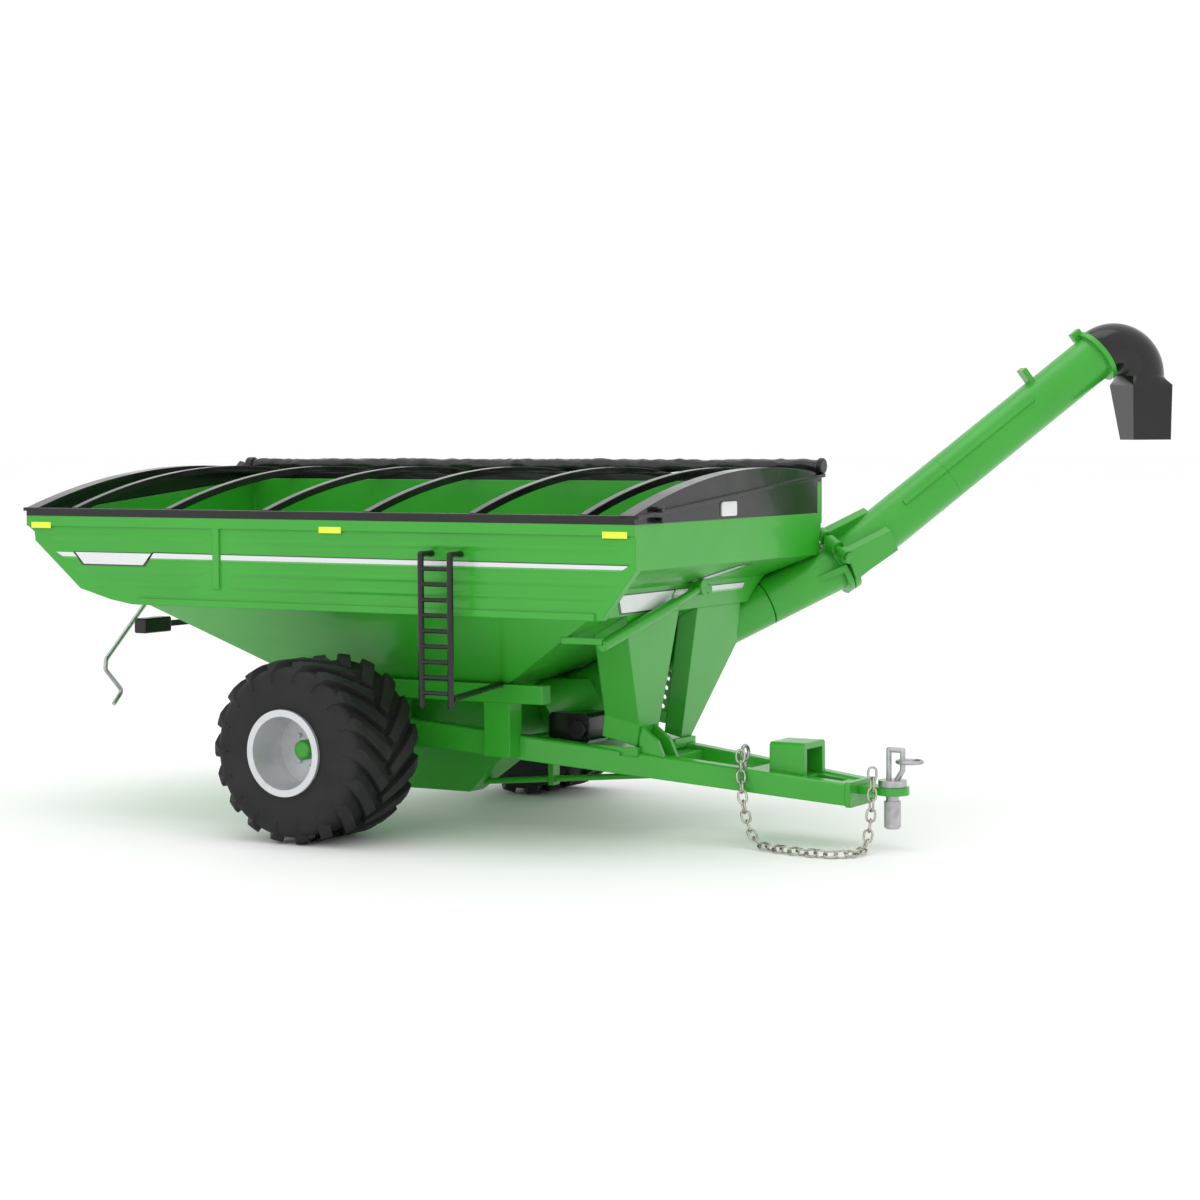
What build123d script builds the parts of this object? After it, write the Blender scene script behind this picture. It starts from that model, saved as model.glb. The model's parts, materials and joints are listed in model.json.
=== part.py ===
"""Die-cast scale model of a grain cart, 1:64, in millimetres.

+X points to the hitch, +Y to the unloading auger's side, +Z up.  The origin is on the ground,
midway between the two tyres.
"""
from build123d import *
from math import atan2, cos, degrees, pi, radians, sin, tan
import os

# --- tank ---------------------------------------------------------------------------------
TANK_REAR = -62.2                 # outer faces of the end walls
TANK_FRONT = 56.8
TANK_HALF_WIDTH = 31.2
TANK_TOP = 50.5                   # top edge on the right side and the front
LEFT_WALL_RISE = 5.2              # the left wall stands higher by this much
SKIRT_BOTTOM = 36.0
WALL = 1.2
HOPPER_BOTTOM = 24.0              # where the funnel meets the cradle
HOPPER_HALF_WIDTH = 14.0
HOPPER_REAR = -20.2
HOPPER_FRONT = 23.4
FUNNEL_REAR = -36.3               # funnel outline at the skirt
FUNNEL_FRONT = 48.3
FRONT_BAND_BOTTOM = 43.6
FRONT_SET_BACK = 8.0              # the lower front band stands this far behind the upper one
RIB = 0.35                        # how far pressed ribs stand proud

# --- roof frame ---------------------------------------------------------------------------
RAIL_HEIGHT = 1.35
RAIL_WIDTH = 1.4
BOW_FIRST_X = -52.1
BOW_PITCH = 19.94
BOW_COUNT = 6
BOW_DEPTH = 1.15
BOW_WIDTH = 1.2
ARCH_CROWN = 58.3
ARCH_CROWN_Y = 8.0
CAP_THICKNESS = 1.1
CAP_FLANGE = 2.6
ROLL_RADIUS = 1.25

# --- running gear -------------------------------------------------------------------------
TYRE_RADIUS = 14.5
LUG_HEIGHT = 1.1
TYRE_INNER_Y = 25.2
TYRE_WIDTH = 17.6
LUGS_PER_SIDE = 18
RIM_RADIUS = 6.85
RIM_SEAT_RADIUS = 6.3
RIM_WALL = 0.55
DISC_Y = 34.6
DISC_THICKNESS = 1.0
AXLE_RADIUS = 1.25
AXLE_HALF_LENGTH = 36.6
RUNNING_CLEARANCE = 0.05
HUB_RADIUS = 1.6
HUB_LENGTH = 2.6
NUT_CIRCLE = 2.9
NUT_COUNT = 8
NUT_RADIUS = 0.36

# --- drawbar ------------------------------------------------------------------------------
BEAM_REAR_X = -4.0
BEAM_FRONT_X = 78.4
BEAM_REAR_Y = 15.6                # outer face at the rear end
BEAM_FRONT_Y = 4.7
BEAM_WIDTH = 2.6
BEAM_REAR_TOP = 18.3
BEAM_REAR_DEPTH = 4.2
BEAM_FRONT_TOP = 10.2
BEAM_FRONT_DEPTH = 3.4
EYE_X = 84.3
EYE_RADIUS = 2.6
EYE_BOTTOM = 8.4
EYE_THICKNESS = 1.2
PIN_RADIUS = 1.3
PIN_BOTTOM = 3.1
PIN_SEAT_RADIUS = 1.45             # the drawpin is this thick where it sits in the eye
PIN_FIT = 0.08

# --- auger --------------------------------------------------------------------------------
AUGER_RADIUS = 4.0
AUGER_HEADING = 45.0              # degrees from +X towards +Y, for both tubes
FOOT = (26.0, 2.5, 20.6)          # lower end of the lower tube's axis
LOWER_SLOPE = 24.7
LOWER_LENGTH = 50.4
SEAM_CHAMFER = 0.3
SEAM_AT = 36.0                    # the base tube ends here and the hinge casting starts
UPPER_SLOPE = 37.0
UPPER_LENGTH = 58.8
SLEEVE_LENGTH = 23.8
TUBE_BORE = 3.0
FLANGE_RADIUS = 4.9
FLANGE_THICKNESS = 1.2
MATING_GAP = 0.1                  # each flange face stands this far from the parting plane
HINGE_OFFSET = 5.3                # pin axis above the tube axis
HINGE_ROLL = 30.0                 # the pin dips this much towards the tank side
HINGE_PIN_RADIUS = 0.55
KNUCKLE_RADIUS = 1.15
KNUCKLE_GAP = 0.15
SPIGOT_RADIUS = 3.7
SPIGOT_LENGTH = 2.2
ELBOW_WALL = 0.95
CHUTE_WALL = 0.6
SPOUT_BEND = 4.7
TUNNEL_CLEARANCE = 0.35
TUNNEL_WALL = 1.0

os.makedirs("parts", exist_ok=True)


def heading(slope):
    """Unit vector along an auger tube that climbs at slope degrees."""
    level = cos(radians(slope))
    turn = radians(AUGER_HEADING)
    return Vector(level * cos(turn), level * sin(turn), sin(radians(slope)))


def rod(start, end, radius, mode=Mode.ADD):
    """Round bar between two points."""
    along = Vector(end) - Vector(start)
    with Locations(Plane(origin=start, z_dir=along)):
        Cylinder(radius, along.length, align=(Align.CENTER, Align.CENTER, Align.MIN), mode=mode)


def block(low, high, mode=Mode.ADD):
    """Box between its lowest and highest corners."""
    size = [b - a for a, b in zip(low, high)]
    with Locations(tuple(low)):
        Box(*size, align=(Align.MIN, Align.MIN, Align.MIN), mode=mode)


def rectangle(x_low, x_high, y_low, y_high):
    """Sketch rectangle between its sides."""
    with Locations(((x_low + x_high) / 2, (y_low + y_high) / 2)):
        Rectangle(x_high - x_low, y_high - y_low)


def finish(name, piece):
    """Names a finished piece and writes it."""
    piece.part.label = name
    export_step(piece.part, f"parts/{name}.step")


# --- places that follow from the driving dimensions ----------------------------------------
LEFT_TOP = TANK_TOP + LEFT_WALL_RISE
RIGHT_RAIL_TOP = TANK_TOP + RAIL_HEIGHT
LEFT_RAIL_TOP = LEFT_TOP + RAIL_HEIGHT
TYRE_OUTER_Y = TYRE_INNER_Y + TYRE_WIDTH
AXLE_Z = TYRE_RADIUS
FRONT_BAND_X = TANK_FRONT - FRONT_SET_BACK
TUNNEL_RADIUS = AUGER_RADIUS + TUNNEL_CLEARANCE
ACROSS = Vector(-sin(radians(AUGER_HEADING)), cos(radians(AUGER_HEADING)), 0)
LOWER_DIR = heading(LOWER_SLOPE)
UPPER_DIR = heading(UPPER_SLOPE)
PARTING_DIR = heading((LOWER_SLOPE + UPPER_SLOPE) / 2)
KINK = Vector(*FOOT) + LOWER_DIR * LOWER_LENGTH
TUBE_END = KINK + UPPER_DIR * UPPER_LENGTH
LOWER_PLANE = Plane(origin=FOOT, x_dir=ACROSS, z_dir=LOWER_DIR)
UPPER_PLANE = Plane(origin=KINK, x_dir=ACROSS, z_dir=UPPER_DIR)
PARTING_UP = PARTING_DIR.cross(ACROSS)
PIN_DIR = ACROSS * cos(radians(HINGE_ROLL)) + PARTING_UP * sin(radians(HINGE_ROLL))
HINGE_PLANE = Plane(origin=KINK, x_dir=PIN_DIR, z_dir=PARTING_DIR)
HINGE_CENTRE = KINK + HINGE_PLANE.y_dir * HINGE_OFFSET


def beam_edge(x):
    """Outer y, top and depth of a drawbar beam at a distance x ahead of the axle."""
    share = (x - BEAM_REAR_X) / (BEAM_FRONT_X - BEAM_REAR_X)
    outer = BEAM_REAR_Y + (BEAM_FRONT_Y - BEAM_REAR_Y) * share
    top = BEAM_REAR_TOP + (BEAM_FRONT_TOP - BEAM_REAR_TOP) * share
    depth = BEAM_REAR_DEPTH + (BEAM_FRONT_DEPTH - BEAM_REAR_DEPTH) * share
    return outer, top, depth


# --- tank ---------------------------------------------------------------------------------
SIDE_OUTLINE = [
    (TANK_REAR, TANK_TOP),
    (TANK_REAR, TANK_TOP - 1.7),
    (TANK_REAR + 1.4, TANK_TOP - 2.7),
    (TANK_REAR + 1.6, TANK_TOP - 4.2),
    (TANK_REAR + 11.4, SKIRT_BOTTOM + 2.4),
    (TANK_REAR + 18.0, SKIRT_BOTTOM + 0.7),
    (TANK_REAR + 22.5, SKIRT_BOTTOM),
    (TANK_FRONT - 6.0, SKIRT_BOTTOM),
    (TANK_FRONT, FRONT_BAND_BOTTOM),
    (TANK_FRONT, TANK_TOP),
]
INSIDE_OUTLINE = [
    (TANK_REAR + WALL, TANK_TOP + 20),
    (TANK_REAR + WALL, TANK_TOP - 2.5),
    (TANK_REAR + WALL + 1.6, TANK_TOP - 4.0),
    (TANK_REAR + 12.0, SKIRT_BOTTOM + 3.7),
    (TANK_REAR + 18.4, SKIRT_BOTTOM + 2.0),
    (TANK_REAR + 22.6, SKIRT_BOTTOM + WALL),
    (FRONT_BAND_X - WALL, SKIRT_BOTTOM + WALL),
    (FRONT_BAND_X - WALL + 0.8, SKIRT_BOTTOM + 5.0),
    (TANK_FRONT - WALL, FRONT_BAND_BOTTOM + 0.7),
    (TANK_FRONT - WALL, TANK_TOP + 20),
]
SIDE_PLATE = 1.6                  # the side plates' ends show beside the set-back front band
INNER_HALF_WIDTH = TANK_HALF_WIDTH - WALL

with BuildPart() as tank_envelope:
    with BuildSketch(Plane.XZ):
        Polygon(*SIDE_OUTLINE, align=None)
    extrude(amount=TANK_HALF_WIDTH, both=True)
    with BuildSketch(Plane.XZ):
        Polygon(
            (FRONT_BAND_X, SKIRT_BOTTOM - 1),
            (FRONT_BAND_X, SKIRT_BOTTOM),
            (FRONT_BAND_X + 0.8, SKIRT_BOTTOM + 4.2),
            (TANK_FRONT, FRONT_BAND_BOTTOM),
            (TANK_FRONT + 1, FRONT_BAND_BOTTOM),
            (TANK_FRONT + 1, SKIRT_BOTTOM - 1),
            align=None,
        )
    extrude(amount=TANK_HALF_WIDTH - SIDE_PLATE, both=True, mode=Mode.SUBTRACT)
    with BuildSketch(Plane.XY.offset(SKIRT_BOTTOM)):
        rectangle(FUNNEL_REAR, FUNNEL_FRONT, -TANK_HALF_WIDTH + 0.3, TANK_HALF_WIDTH - 0.3)
    with BuildSketch(Plane.XY.offset(HOPPER_BOTTOM)):
        rectangle(HOPPER_REAR, HOPPER_FRONT, -HOPPER_HALF_WIDTH, HOPPER_HALF_WIDTH)
    loft()

with BuildPart() as auger_tunnel:
    tunnel_end = KINK + LOWER_DIR * 4
    rod(FOOT, tunnel_end, TUNNEL_RADIUS + TUNNEL_WALL)
    add(tank_envelope.part, mode=Mode.INTERSECT)

with BuildPart() as tank_shell:
    add(tank_envelope.part)
    with BuildSketch(Plane.XZ):
        Polygon(*INSIDE_OUTLINE, align=None)
    extrude(amount=INNER_HALF_WIDTH, both=True, mode=Mode.SUBTRACT)
    with BuildSketch(Plane.XY.offset(SKIRT_BOTTOM + WALL + 0.01)):
        rectangle(FUNNEL_REAR + 1.9, FUNNEL_FRONT - 2.6, -INNER_HALF_WIDTH, INNER_HALF_WIDTH)
    with BuildSketch(Plane.XY.offset(HOPPER_BOTTOM + WALL)):
        rectangle(HOPPER_REAR + 1, HOPPER_FRONT - 1.6, 1 - HOPPER_HALF_WIDTH, HOPPER_HALF_WIDTH - 1)
    loft(mode=Mode.SUBTRACT)
    # the left wall and the rear wall's sloping top
    block((TANK_REAR, INNER_HALF_WIDTH, TANK_TOP), (TANK_FRONT, TANK_HALF_WIDTH, LEFT_TOP))
    with BuildSketch(Plane.YZ.offset(TANK_REAR)):
        Polygon(
            (-TANK_HALF_WIDTH, TANK_TOP),
            (TANK_HALF_WIDTH, TANK_TOP),
            (TANK_HALF_WIDTH, LEFT_TOP),
            align=None,
        )
    extrude(amount=WALL)
    # pressed top band, bottom lip and joint strips on both sides
    for side in (-1, 1):
        face = side * TANK_HALF_WIDTH
        proud = face + side * RIB
        low, high = sorted((face, proud))
        block((TANK_REAR, low, TANK_TOP - 1.7), (TANK_FRONT, high, TANK_TOP))
        block((TANK_REAR + 24, low, SKIRT_BOTTOM), (TANK_FRONT - 7, high, SKIRT_BOTTOM + 1.1))
        block((-22.4, low, SKIRT_BOTTOM + 3), (-21.1, high, TANK_TOP - 1.7))
    # the tunnel that lets the lower auger leave through the front left corner
    add(auger_tunnel.part)
    rod(FOOT, tunnel_end, TUNNEL_RADIUS, Mode.SUBTRACT)
    # relief in the corner for the hinge knuckles
    rod(
        (HINGE_CENTRE - PIN_DIR * 5),
        (HINGE_CENTRE + PIN_DIR * 5),
        KNUCKLE_RADIUS + TUNNEL_CLEARANCE,
        Mode.SUBTRACT,
    )
finish("tank_shell", tank_shell)

# --- roof frame ---------------------------------------------------------------------------
ARCH_RIGHT = (-TANK_HALF_WIDTH, RIGHT_RAIL_TOP)
ARCH_CROWN_POINT = (ARCH_CROWN_Y, ARCH_CROWN)
ARCH_LEFT = (TANK_HALF_WIDTH, LEFT_RAIL_TOP + 0.05)
RAIL_SPECS = (("right_top_rail", -1, TANK_TOP), ("left_top_rail", 1, LEFT_TOP))
RAIL_OVERHANG = 0.35

rails = {}
for name, side, foot in RAIL_SPECS:
    with BuildPart() as rail:
        outer = side * (TANK_HALF_WIDTH + RAIL_OVERHANG)
        low, high = sorted((outer, outer - side * RAIL_WIDTH))
        block(
            (TANK_REAR + CAP_THICKNESS, low, foot),
            (TANK_FRONT - CAP_THICKNESS, high, foot + RAIL_HEIGHT),
        )
        fillet(rail.edges().filter_by(Axis.X).group_by(Axis.Z)[-1], 0.3)
    rails[name] = rail
    finish(name, rail)

with BuildPart() as roof_bows:
    for index in range(BOW_COUNT):
        start_x = BOW_FIRST_X + index * BOW_PITCH - BOW_WIDTH / 2
        with BuildSketch(Plane.YZ.offset(start_x)):
            with BuildLine():
                top = ThreePointArc(ARCH_RIGHT, ARCH_CROWN_POINT, ARCH_LEFT)
                under = ThreePointArc(
                    (ARCH_RIGHT[0], ARCH_RIGHT[1] - BOW_DEPTH),
                    (ARCH_CROWN_POINT[0], ARCH_CROWN_POINT[1] - BOW_DEPTH),
                    (ARCH_LEFT[0], ARCH_LEFT[1] - BOW_DEPTH),
                )
                Line(top @ 0, under @ 0)
                Line(top @ 1, under @ 1)
            make_face()
        extrude(amount=BOW_WIDTH)
    add(rails["right_top_rail"].part, mode=Mode.SUBTRACT)
    add(rails["left_top_rail"].part, mode=Mode.SUBTRACT)
    # nothing of a bow is left outside the rails
    for side in (-1, 1):
        low, high = sorted((side * (TANK_HALF_WIDTH + RAIL_OVERHANG - RAIL_WIDTH / 2), side * 40))
        block((TANK_REAR, low, TANK_TOP - 3), (TANK_FRONT, high, ARCH_CROWN + 2), Mode.SUBTRACT)
finish("roof_bows", roof_bows)

WINDOW_LOW = (-4.3, 50.95)
WINDOW_HIGH = (0.7, 53.25)
CAP_EDGE_Y = TANK_HALF_WIDTH + RAIL_OVERHANG
caps = []
for name, face_x, inwards in (("rear_end_cap", TANK_REAR, 1), ("front_end_cap", TANK_FRONT, -1)):
    foot_left = LEFT_TOP if name == "rear_end_cap" else TANK_TOP
    with BuildPart() as cap:
        for reach, flange in ((CAP_THICKNESS, False), (CAP_FLANGE, True)):
            with BuildSketch(Plane.YZ.offset(face_x)):
                with BuildLine():
                    top = ThreePointArc(
                        (-CAP_EDGE_Y, RIGHT_RAIL_TOP), ARCH_CROWN_POINT, (CAP_EDGE_Y, LEFT_RAIL_TOP)
                    )
                    if flange:
                        under = ThreePointArc(
                            (-CAP_EDGE_Y, RIGHT_RAIL_TOP - 0.9),
                            (ARCH_CROWN_Y, ARCH_CROWN - 0.9),
                            (CAP_EDGE_Y, LEFT_RAIL_TOP - 0.9),
                        )
                        Line(top @ 0, under @ 0)
                        Line(top @ 1, under @ 1)
                    else:
                        Polyline(
                            top @ 0, (-CAP_EDGE_Y, TANK_TOP), (CAP_EDGE_Y, foot_left), top @ 1
                        )
                make_face()
            extrude(amount=inwards * reach)
        # sloping ledge across the outside, level with the tank's rim plane
        ledge_low, ledge_high = sorted((face_x, face_x - inwards * 0.7))
        with BuildSketch(Plane.YZ.offset(ledge_low)):
            Polygon(
                (-CAP_EDGE_Y, RIGHT_RAIL_TOP - 0.55),
                (CAP_EDGE_Y, LEFT_RAIL_TOP - 0.55),
                (CAP_EDGE_Y, LEFT_RAIL_TOP),
                (-CAP_EDGE_Y, RIGHT_RAIL_TOP),
                align=None,
            )
        extrude(amount=ledge_high - ledge_low)
        for rail in rails.values():
            add(rail.part, mode=Mode.SUBTRACT)
        add(tank_shell.part, mode=Mode.SUBTRACT)
        if name == "front_end_cap":
            for height in (51.0, 52.6):
                rod((face_x - 0.5, -25.0, height), (face_x + 1.3, -25.0, height), 0.45)
            block(
                (face_x - 5, WINDOW_LOW[0], WINDOW_LOW[1]),
                (face_x + 5, WINDOW_HIGH[0], WINDOW_HIGH[1]),
                Mode.SUBTRACT,
            )
    caps.append(cap)
    finish(name, cap)

with BuildPart() as sight_window:
    block(
        (TANK_FRONT - 0.9, WINDOW_LOW[0], WINDOW_LOW[1]),
        (TANK_FRONT + 0.25, WINDOW_HIGH[0], WINDOW_HIGH[1]),
    )
    fillet(sight_window.edges().filter_by(Axis.X), 0.4)
finish("sight_window", sight_window)

# --- rolled tarp and its crank -------------------------------------------------------------
ROLL_Y = TANK_HALF_WIDTH - 0.2
ROLL_Z = LEFT_RAIL_TOP + ROLL_RADIUS + 0.02
with BuildPart() as tarp_roll:
    rod((TANK_REAR + 0.6, ROLL_Y, ROLL_Z), (TANK_FRONT - 0.2, ROLL_Y, ROLL_Z), ROLL_RADIUS)
    for piece in (*caps, roof_bows):
        add(piece.part, mode=Mode.SUBTRACT)
finish("tarp_roll", tarp_roll)

with BuildPart() as tarp_roll_ends:
    for start, end in ((TANK_REAR - 0.9, TANK_REAR + 0.6), (TANK_FRONT - 0.2, TANK_FRONT + 0.7)):
        rod((start, ROLL_Y, ROLL_Z), (end, ROLL_Y, ROLL_Z), ROLL_RADIUS + 0.12)
    fillet(tarp_roll_ends.edges().filter_by(GeomType.CIRCLE), 0.25)
    for cap in caps:
        add(cap.part, mode=Mode.SUBTRACT)
finish("tarp_roll_ends", tarp_roll_ends)

CRANK_RADIUS = 0.42
CRANK_TOP = (TANK_REAR - 2.6, ROLL_Y - 0.3, ROLL_Z - 0.7)
CRANK_BEND = (TANK_REAR - 2.8, -8.4, 24.2)
crank_dir = (Vector(*CRANK_BEND) - Vector(*CRANK_TOP)).normalized()
socket_end = Vector(*CRANK_TOP) + crank_dir * 2.2
with BuildPart() as crank_socket:
    rod((TANK_REAR - 0.9, ROLL_Y, ROLL_Z - 0.3), (TANK_REAR - 2.2, ROLL_Y - 0.3, ROLL_Z - 0.7), 0.7)
    rod((Vector(*CRANK_TOP) - crank_dir * 0.9), socket_end, 0.95)
    rod(CRANK_TOP, (socket_end + crank_dir), CRANK_RADIUS + RUNNING_CLEARANCE, Mode.SUBTRACT)
    add(tarp_roll_ends.part, mode=Mode.SUBTRACT)
finish("crank_socket", crank_socket)

crank_start = Vector(*CRANK_TOP) + crank_dir * 0.1
CRANK_ROUTE = [
    crank_start,
    CRANK_BEND,
    (TANK_REAR - 2.8, -8.7, 22.4),
    (TANK_REAR - 2.8, -4.2, 18.2),
    (TANK_REAR - 2.8, -6.6, 16.0),
]
with BuildPart() as tarp_crank:
    with BuildLine() as crank_line:
        FilletPolyline(*CRANK_ROUTE, radius=0.8)
    with BuildSketch(Plane(origin=crank_start, z_dir=crank_dir)):
        Circle(CRANK_RADIUS)
    sweep()
finish("tarp_crank", tarp_crank)

# --- tail light ---------------------------------------------------------------------------
LIGHT_X = -45.0
with BuildPart() as tail_light:
    block((LIGHT_X - 1.3, -23.0, 30.4), (LIGHT_X + 1.3, -16.0, 33.0))
    fillet(tail_light.edges(), 0.35)
finish("tail_light", tail_light)
with BuildPart() as tail_light_bracket:
    block((LIGHT_X - 0.4, -16.0, 31.2), (LIGHT_X + 0.4, -9.0, 32.2))
    block((LIGHT_X - 0.4, -10.0, 32.2), (LIGHT_X + 0.4, -9.0, SKIRT_BOTTOM + 2.5))
    add(tank_envelope.part, mode=Mode.SUBTRACT)
finish("tail_light_bracket", tail_light_bracket)

# --- ladder -------------------------------------------------------------------------------
LADDER_Y = -34.3
LADDER_TOP = 45.6
LADDER_BOTTOM = 22.2
LADDER_REAR_X = 20.4
LADDER_FRONT_X = 25.8
LADDER_RAIL_RADIUS = 0.5
RUNG_COUNT = 9
with BuildPart() as ladder:
    for x in (LADDER_REAR_X, LADDER_FRONT_X):
        rod((x, LADDER_Y, LADDER_BOTTOM), (x, LADDER_Y, LADDER_TOP), LADDER_RAIL_RADIUS)
        with Locations((x, LADDER_Y, LADDER_TOP), (x, LADDER_Y, LADDER_BOTTOM)):
            Sphere(LADDER_RAIL_RADIUS)
        hook_end = (x, -TANK_HALF_WIDTH - 0.01, LADDER_TOP)
        rod((x, LADDER_Y, LADDER_TOP), hook_end, LADDER_RAIL_RADIUS)
    for index in range(RUNG_COUNT):
        z = LADDER_BOTTOM + 2.0 + index * (LADDER_TOP - LADDER_BOTTOM - 4.2) / (RUNG_COUNT - 1)
        rod((LADDER_REAR_X, LADDER_Y, z), (LADDER_FRONT_X, LADDER_Y, z), 0.36)
finish("ladder", ladder)

with BuildPart() as ladder_arm:
    arm_start = (LADDER_FRONT_X, LADDER_Y + LADDER_RAIL_RADIUS, 23.4)
    arm_end = (HOPPER_FRONT - 0.9, -HOPPER_HALF_WIDTH - 0.9, 24.0)
    rod(arm_start, arm_end, 0.5)
    add(ladder.part, mode=Mode.SUBTRACT)
    add(tank_envelope.part, mode=Mode.SUBTRACT)
finish("ladder_arm", ladder_arm)

# --- chassis ------------------------------------------------------------------------------
beams = {}
for name, side in (("right_drawbar_beam", -1), ("left_drawbar_beam", 1)):
    with BuildPart() as beam:
        for x in (BEAM_REAR_X, BEAM_FRONT_X):
            outer, top, depth = beam_edge(x)
            low, high = sorted((side * outer, side * (outer - BEAM_WIDTH)))
            with BuildSketch(Plane.YZ.offset(x)):
                rectangle(low, high, top - depth, top)
        loft()
        chamfer(beam.edges().group_by(SortBy.LENGTH)[-1], 0.3)
        rod((0, -30, AXLE_Z), (0, 30, AXLE_Z), AXLE_RADIUS, Mode.SUBTRACT)
    beams[name] = beam
    finish(name, beam)

CROSS_X = 46.0
MID_CROSS_X = 23.2
crosses = {}
for name, x, length in (("front_cross_member", CROSS_X, 3.6), ("middle_cross_member", MID_CROSS_X, 2.4)):
    outer, top, depth = beam_edge(x)
    half = beam_edge(x + length / 2)[0] - BEAM_WIDTH
    half_rear = beam_edge(x - length / 2)[0] - BEAM_WIDTH
    with BuildPart() as cross:
        with BuildSketch(Plane.XY.offset(top - depth + 0.3)):
            Polygon(
                (x - length / 2, -half_rear),
                (x + length / 2, -half),
                (x + length / 2, half),
                (x - length / 2, half_rear),
                align=None,
            )
        extrude(amount=depth - 1.0)
        for beam in beams.values():
            add(beam.part, mode=Mode.SUBTRACT)
    crosses[name] = cross
    finish(name, cross)

AXLE_BEAM_HALF = TYRE_INNER_Y - 1.2
with BuildPart() as axle_beam:
    block((-2.6, -AXLE_BEAM_HALF, AXLE_Z - 2.4), (2.6, AXLE_BEAM_HALF, AXLE_Z + 2.4))
    chamfer(axle_beam.edges().filter_by(Axis.Y), 0.6)
    rod((0, -AXLE_BEAM_HALF, AXLE_Z), (0, AXLE_BEAM_HALF, AXLE_Z), AXLE_RADIUS, Mode.SUBTRACT)
    for beam in beams.values():
        add(beam.part, mode=Mode.SUBTRACT)
finish("axle_beam", axle_beam)

with BuildPart() as axle:
    rod((0, -AXLE_HALF_LENGTH, AXLE_Z), (0, AXLE_HALF_LENGTH, AXLE_Z), AXLE_RADIUS)
finish("axle", axle)

CRADLE_Y = 13.8
CRADLE_WIDTH = 2.4
CRADLE_DEPTH = 3.0
CRADLE_BOTTOM = HOPPER_BOTTOM - CRADLE_DEPTH
cradles = {}
for name, side in (("right_cradle_rail", -1), ("left_cradle_rail", 1)):
    with BuildPart() as cradle:
        low, high = sorted((side * (CRADLE_Y - CRADLE_WIDTH / 2), side * (CRADLE_Y + CRADLE_WIDTH / 2)))
        block((HOPPER_REAR, low, CRADLE_BOTTOM), (HOPPER_FRONT + 7.0, high, HOPPER_BOTTOM))
        add(ladder_arm.part, mode=Mode.SUBTRACT)
        add(tank_envelope.part, mode=Mode.SUBTRACT)
        rod(FOOT, tunnel_end, TUNNEL_RADIUS, Mode.SUBTRACT)
    cradles[name] = cradle
    finish(name, cradle)

with BuildPart() as cradle_posts:
    for side in (-1, 1):
        low, high = sorted((side * 11.2, side * 14.9))
        block((19.2, low, 12.2), (24.1, high, CRADLE_BOTTOM))
        block((-2.6, low, AXLE_Z + 2.4), (2.6, high, CRADLE_BOTTOM))
    for beam in beams.values():
        add(beam.part, mode=Mode.SUBTRACT)
    add(crosses["middle_cross_member"].part, mode=Mode.SUBTRACT)
finish("cradle_posts", cradle_posts)

SUMP_WAIST_Z = 13.0
SUMP_WAIST_HALF = 5.5
with BuildPart() as sump_body:
    with BuildSketch(Plane.XY.offset(HOPPER_BOTTOM)):
        rectangle(HOPPER_REAR + 1, HOPPER_FRONT - 1.4, -12.3, 12.3)
    with BuildSketch(Plane.XY.offset(SUMP_WAIST_Z)):
        rectangle(-17.0, 18.6, -SUMP_WAIST_HALF, SUMP_WAIST_HALF)
    loft()

with BuildPart() as sump:
    add(sump_body.part)
    with BuildSketch(Plane.XY.offset(HOPPER_BOTTOM)):
        rectangle(HOPPER_REAR + 2.2, HOPPER_FRONT - 2.8, -11.1, 11.1)
    with BuildSketch(Plane.XY.offset(SUMP_WAIST_Z + 0.8)):
        rectangle(-15.6, 17.4, -4.6, 4.6)
    loft(mode=Mode.SUBTRACT)
    add(axle_beam.part, mode=Mode.SUBTRACT)
    rod((0, -20, AXLE_Z), (0, 20, AXLE_Z), AXLE_RADIUS, Mode.SUBTRACT)
finish("sump", sump)

with BuildPart() as sump_trough:
    with BuildSketch(Plane.XY.offset(SUMP_WAIST_Z)):
        rectangle(-17.0, 18.6, -SUMP_WAIST_HALF, SUMP_WAIST_HALF)
    with BuildSketch(Plane.XY.offset(4.3)):
        rectangle(-15.5, 8.0, -2.2, 2.2)
    loft()
    add(axle_beam.part, mode=Mode.SUBTRACT)
finish("sump_trough", sump_trough)

TONGUE_REAR_X = 61.5
with BuildPart() as tongue_block:
    for x in (TONGUE_REAR_X, BEAM_FRONT_X):
        outer, top, depth = beam_edge(x)
        with BuildSketch(Plane.YZ.offset(x)):
            rectangle(BEAM_WIDTH - outer, outer - BEAM_WIDTH, top - depth + 0.3, top - 0.3)
    loft()
    block((70.8, -1.4, 8.2), (76.2, 1.4, 13), Mode.SUBTRACT)
    for beam in beams.values():
        add(beam.part, mode=Mode.SUBTRACT)
finish("tongue_block", tongue_block)

with BuildPart() as hose_saddle:
    block((65.0, -3.7, 10.4), (71.0, 3.7, 15.9))
    fillet(hose_saddle.edges().filter_by(Axis.X).group_by(Axis.Z)[-1], 0.7)
    block((64.0, -2.7, 10.0), (72.0, 2.7, 14.9), Mode.SUBTRACT)
    for beam in beams.values():
        add(beam.part, mode=Mode.SUBTRACT)
    add(tongue_block.part, mode=Mode.SUBTRACT)
finish("hose_saddle", hose_saddle)

END_PLATE = 0.9
with BuildPart() as end_plate:
    block((BEAM_FRONT_X, -BEAM_FRONT_Y, 6.5), (BEAM_FRONT_X + END_PLATE, BEAM_FRONT_Y, 10.4))
    chamfer(end_plate.edges().filter_by(Axis.X), 0.4)
finish("end_plate", end_plate)

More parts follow.
